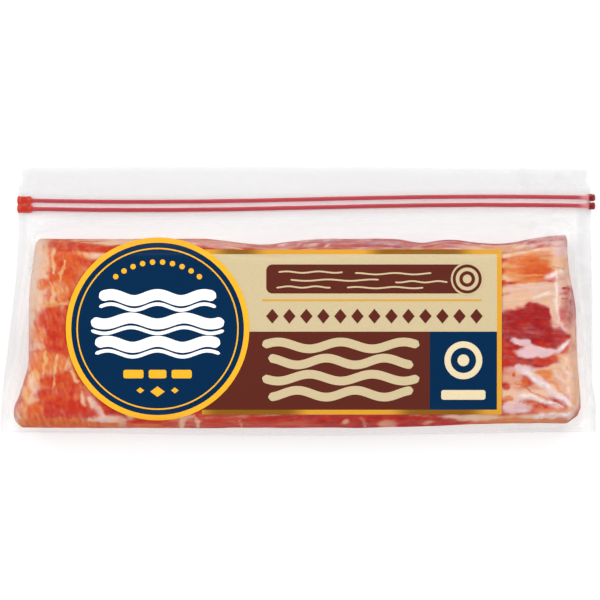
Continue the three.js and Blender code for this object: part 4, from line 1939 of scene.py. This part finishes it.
    def arc_dot(self, angle: float) -> list[Point]:
        """A small round dot on the arc at the badge's top."""
        (cx, cy), reach = self.badge, self.dot_arc
        return circle(cx + reach * math.cos(angle), cy + reach * math.sin(angle), self.dot_radius, 20)

    def lay(self, shape: Print) -> None:
        """Cuts a shape from flat ink, lays it on the film and gives it its thickness.

        Args:
            shape: the shape.
        """
        piece = self.flat(shape)
        self.slice(piece)
        x, y = points_of(piece)[:, :2].T
        move_points(piece, x, y, self.film.heights(x, y) + self.first_lift + self.layer_lift * shape.layer)
        thick = piece.modifiers.new("ink", "SOLIDIFY")
        thick.thickness = self.ink_thickness * MM
        thick.offset = -1.0
        bpy.ops.object.modifier_apply(modifier=thick.name)
        if shape.ink == "gold":
            stain(piece, "shade", self.foil_shade(*(points_of(piece)[:, :2].T / MM)))
        if shape.node:
            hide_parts(shape.node)
        finish_piece(piece, self.inks[shape.ink], 40.0)

    def foil_shade(self, x: Field, y: Field) -> Field:
        """Where the gold foil turns dark: long lengths of the border, other ones along its top and foot.

        Args:
            x: the points' x.
            y: the points' y.

        Returns:
            The darkness at each point.
        """
        soft, edge = self.foil_soft, self.foil_edge
        shade = np.zeros(x.shape)
        for lengths, near in ((self.dark_top, y > self.top - edge), (self.dark_foot, y < self.bottom + edge)):
            for start, end in lengths:
                dark = smooth((x - start) / soft + 0.5) * smooth((end - x) / soft + 0.5)
                shade = np.where(near, np.maximum(shade, dark), shade)
        return np.maximum(shade, self.foil_least)

    def flat(self, shape: Print) -> Piece:
        """Fills a shape's outlines as one flat mesh.

        Args:
            shape: the shape.

        Returns:
            The mesh, in millimetres.
        """
        curve = bpy.data.curves.new(shape.name, "CURVE")
        curve.dimensions = "2D"
        curve.fill_mode = "BOTH"
        for outline in shape.outlines:
            line = curve.splines.new("POLY")
            line.points.add(len(outline) - 1)
            line.points.foreach_set("co", [c for x, y in outline for c in (x, y, 0.0, 1.0)])
            line.use_cyclic_u = True
        drawn = bpy.data.objects.new(shape.name, curve)
        bpy.context.scene.collection.objects.link(drawn)
        pick(drawn)
        bpy.ops.object.convert(target="MESH")
        piece = bpy.context.active_object
        weld(piece, self.join_reach)
        return piece

    def slice(self, piece: Piece) -> None:
        """Slices a flat shape along a grid, so that it can bend over the film.

        Args:
            piece: the shape.
        """
        points = points_of(piece)
        edit(piece)
        for axis, normal in ((0, (1.0, 0.0, 0.0)), (1, (0.0, 1.0, 0.0))):
            low, high = points[:, axis].min(), points[:, axis].max()
            for line in np.arange(math.ceil(low / self.cell) * self.cell + self.line_shift, high, self.cell):
                at = [0.0, 0.0, 0.0]
                at[axis] = float(line)
                bpy.ops.mesh.select_all(action="SELECT")
                bpy.ops.mesh.bisect(plane_co=at, plane_no=normal)
        close_edit()


@dataclass
class Studio:
    """A plain pale floor, soft light and a camera that looks straight down on the pack."""

    lens: float = 250.0
    sensor: float = 36.0
    view_width: float = 300.0
    view_centre: Point = (0.75, -0.05)
    view_height: float = 14.0
    floor_half: float = 3000.0
    floor_drop: float = 0.2
    floor_grey: Colour = srgb(198, 198, 198)
    floor_roughness: float = 0.9
    floor_light: Colour = srgb(255, 255, 255)
    floor_glow: float = 0.42
    clear_bounces: int = 32
    far: float = 20.0
    wall: float = 0.7
    ceiling: float = 0.1
    horizon: Point = (0.2, 0.62)
    softboxes: tuple[tuple[str, tuple[float, float, float], Point, float], ...] = (
        ("key", (-1.0, 0.28, 1.08), (1.3, 0.45), 12.8),
        ("fill", (1.02, -0.18, 1.08), (1.2, 0.45), 9.4),
        ("back", (0.28, 1.06, 1.08), (1.4, 0.45), 15.6),
        ("front", (-0.28, -1.1, 1.08), (1.4, 0.45), 8.5),
    )

    def build(self) -> None:
        """Sets the camera, the floor and the lights."""
        self.set_camera()
        self.set_floor()
        self.set_lights()
        bpy.context.scene.view_settings.view_transform = "Standard"
        bpy.context.scene.cycles.transparent_max_bounces = self.clear_bounces

    def set_camera(self) -> None:
        """Puts the camera over the pack, far enough off to see it without perspective."""
        data = bpy.data.cameras.new("camera")
        data.lens = self.lens
        data.sensor_width = self.sensor
        data.clip_end = self.far
        camera = bpy.data.objects.new("camera", data)
        bpy.context.scene.collection.objects.link(camera)
        distance = self.view_width * self.lens / self.sensor
        x, y = self.view_centre
        camera.location = (x * MM, y * MM, (self.view_height + distance) * MM)
        bpy.context.scene.camera = camera

    def set_floor(self) -> None:
        """Lays a pale matt floor."""
        bpy.ops.object.select_all(action="DESELECT")
        size, drop = 2.0 * self.floor_half * MM, (0.0, 0.0, -self.floor_drop * MM)
        bpy.ops.mesh.primitive_plane_add(size=size, location=drop)
        floor = bpy.context.active_object
        floor.name = "floor"
        material, nodes = new_material("floor_white")
        nodes.show(nodes.add("BsdfPrincipled", {
            "Base Color": self.floor_grey, "Roughness": self.floor_roughness,
            "Emission Color": self.floor_light, "Emission Strength": self.floor_glow,
        }))
        floor.data.materials.append(material)
        floor.visible_glossy = False

    def set_lights(self) -> None:
        """Hangs softboxes round the pack, in a room that is dark overhead and pale towards its walls."""
        world = bpy.data.worlds.new("room")
        world.use_nodes = True
        nodes = Nodes(world.node_tree)
        ways = nodes.add("SeparateXYZ", {0: nodes.add("TexCoord").outputs["Generated"]})
        walls = nodes.add("MapRange", {
            "Value": ways.outputs[2], "From Min": self.horizon[0], "From Max": self.horizon[1],
            "To Min": self.wall, "To Max": self.ceiling,
        })
        sky = world.node_tree.nodes["Background"].inputs
        sky["Color"].default_value = (1.0, 1.0, 1.0, 1.0)
        world.node_tree.links.new(walls.outputs[0], sky["Strength"])
        bpy.context.scene.world = world
        for light in self.softboxes:
            self.softbox(*light)

    def softbox(self, name: str, where: tuple[float, float, float], size: Point, power: float) -> None:
        """Hangs one softbox that faces the pack.

        Args:
            name: the light's name.
            where: its place, in metres.
            size: its width and height, in metres.
            power: its power, in watts.
        """
        data = bpy.data.lights.new(name, "AREA")
        data.shape = "RECTANGLE"
        data.size, data.size_y = size
        data.energy = power
        light = bpy.data.objects.new(name, data)
        bpy.context.scene.collection.objects.link(light)
        light.location = where
        light.rotation_euler = (-Vector(where)).to_track_quat("-Z", "Y").to_euler()


def main() -> None:
    """Builds the pack: studio, contents, pouch, zip and print."""
    plan = PackPlan()
    form = BagForm(Probe(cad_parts["bag"]), plan)
    Studio().build()
    Slab(plan, form).build(BaconFinish().make())
    film = Probe(Pouch(plan, form).build(FilmFinish().make()))
    ZipTape(plan, film).build(TapeFinish().make())
    plastic = ZipFinish().make()
    for seed, node in enumerate(("zip_rib_upper", "zip_rib_lower")):
        ZipRib(node).build(plastic, 60 + seed)
    inks = {
        "gold": InkFinish("gold_foil", srgb(208, 150, 46), srgb(127, 82, 12)),
        "badge_gold": InkFinish("badge_gold", srgb(230, 165, 38)),
        "tan": InkFinish("tan_ink", srgb(187, 170, 134)),
        "cream": InkFinish("cream_ink", srgb(208, 192, 158)),
        "brown": InkFinish("brown_ink", srgb(84, 35, 26)),
        "navy": InkFinish("navy_ink", srgb(0, 36, 68)),
        "white": InkFinish("white_ink", srgb(236, 236, 236)),
    }
    slots = {
        "gold": "gold_foil_ink", "badge_gold": "badge_gold_ink", "tan": "tan_ink", "cream": "tan_ink",
        "brown": "brown_ink", "navy": "navy_ink", "white": "tan_ink",
    }
    made = {name: ink.make() for name, ink in inks.items()}
    Label(film, made, slots).build()


if __name__ == "__main__":
    main()
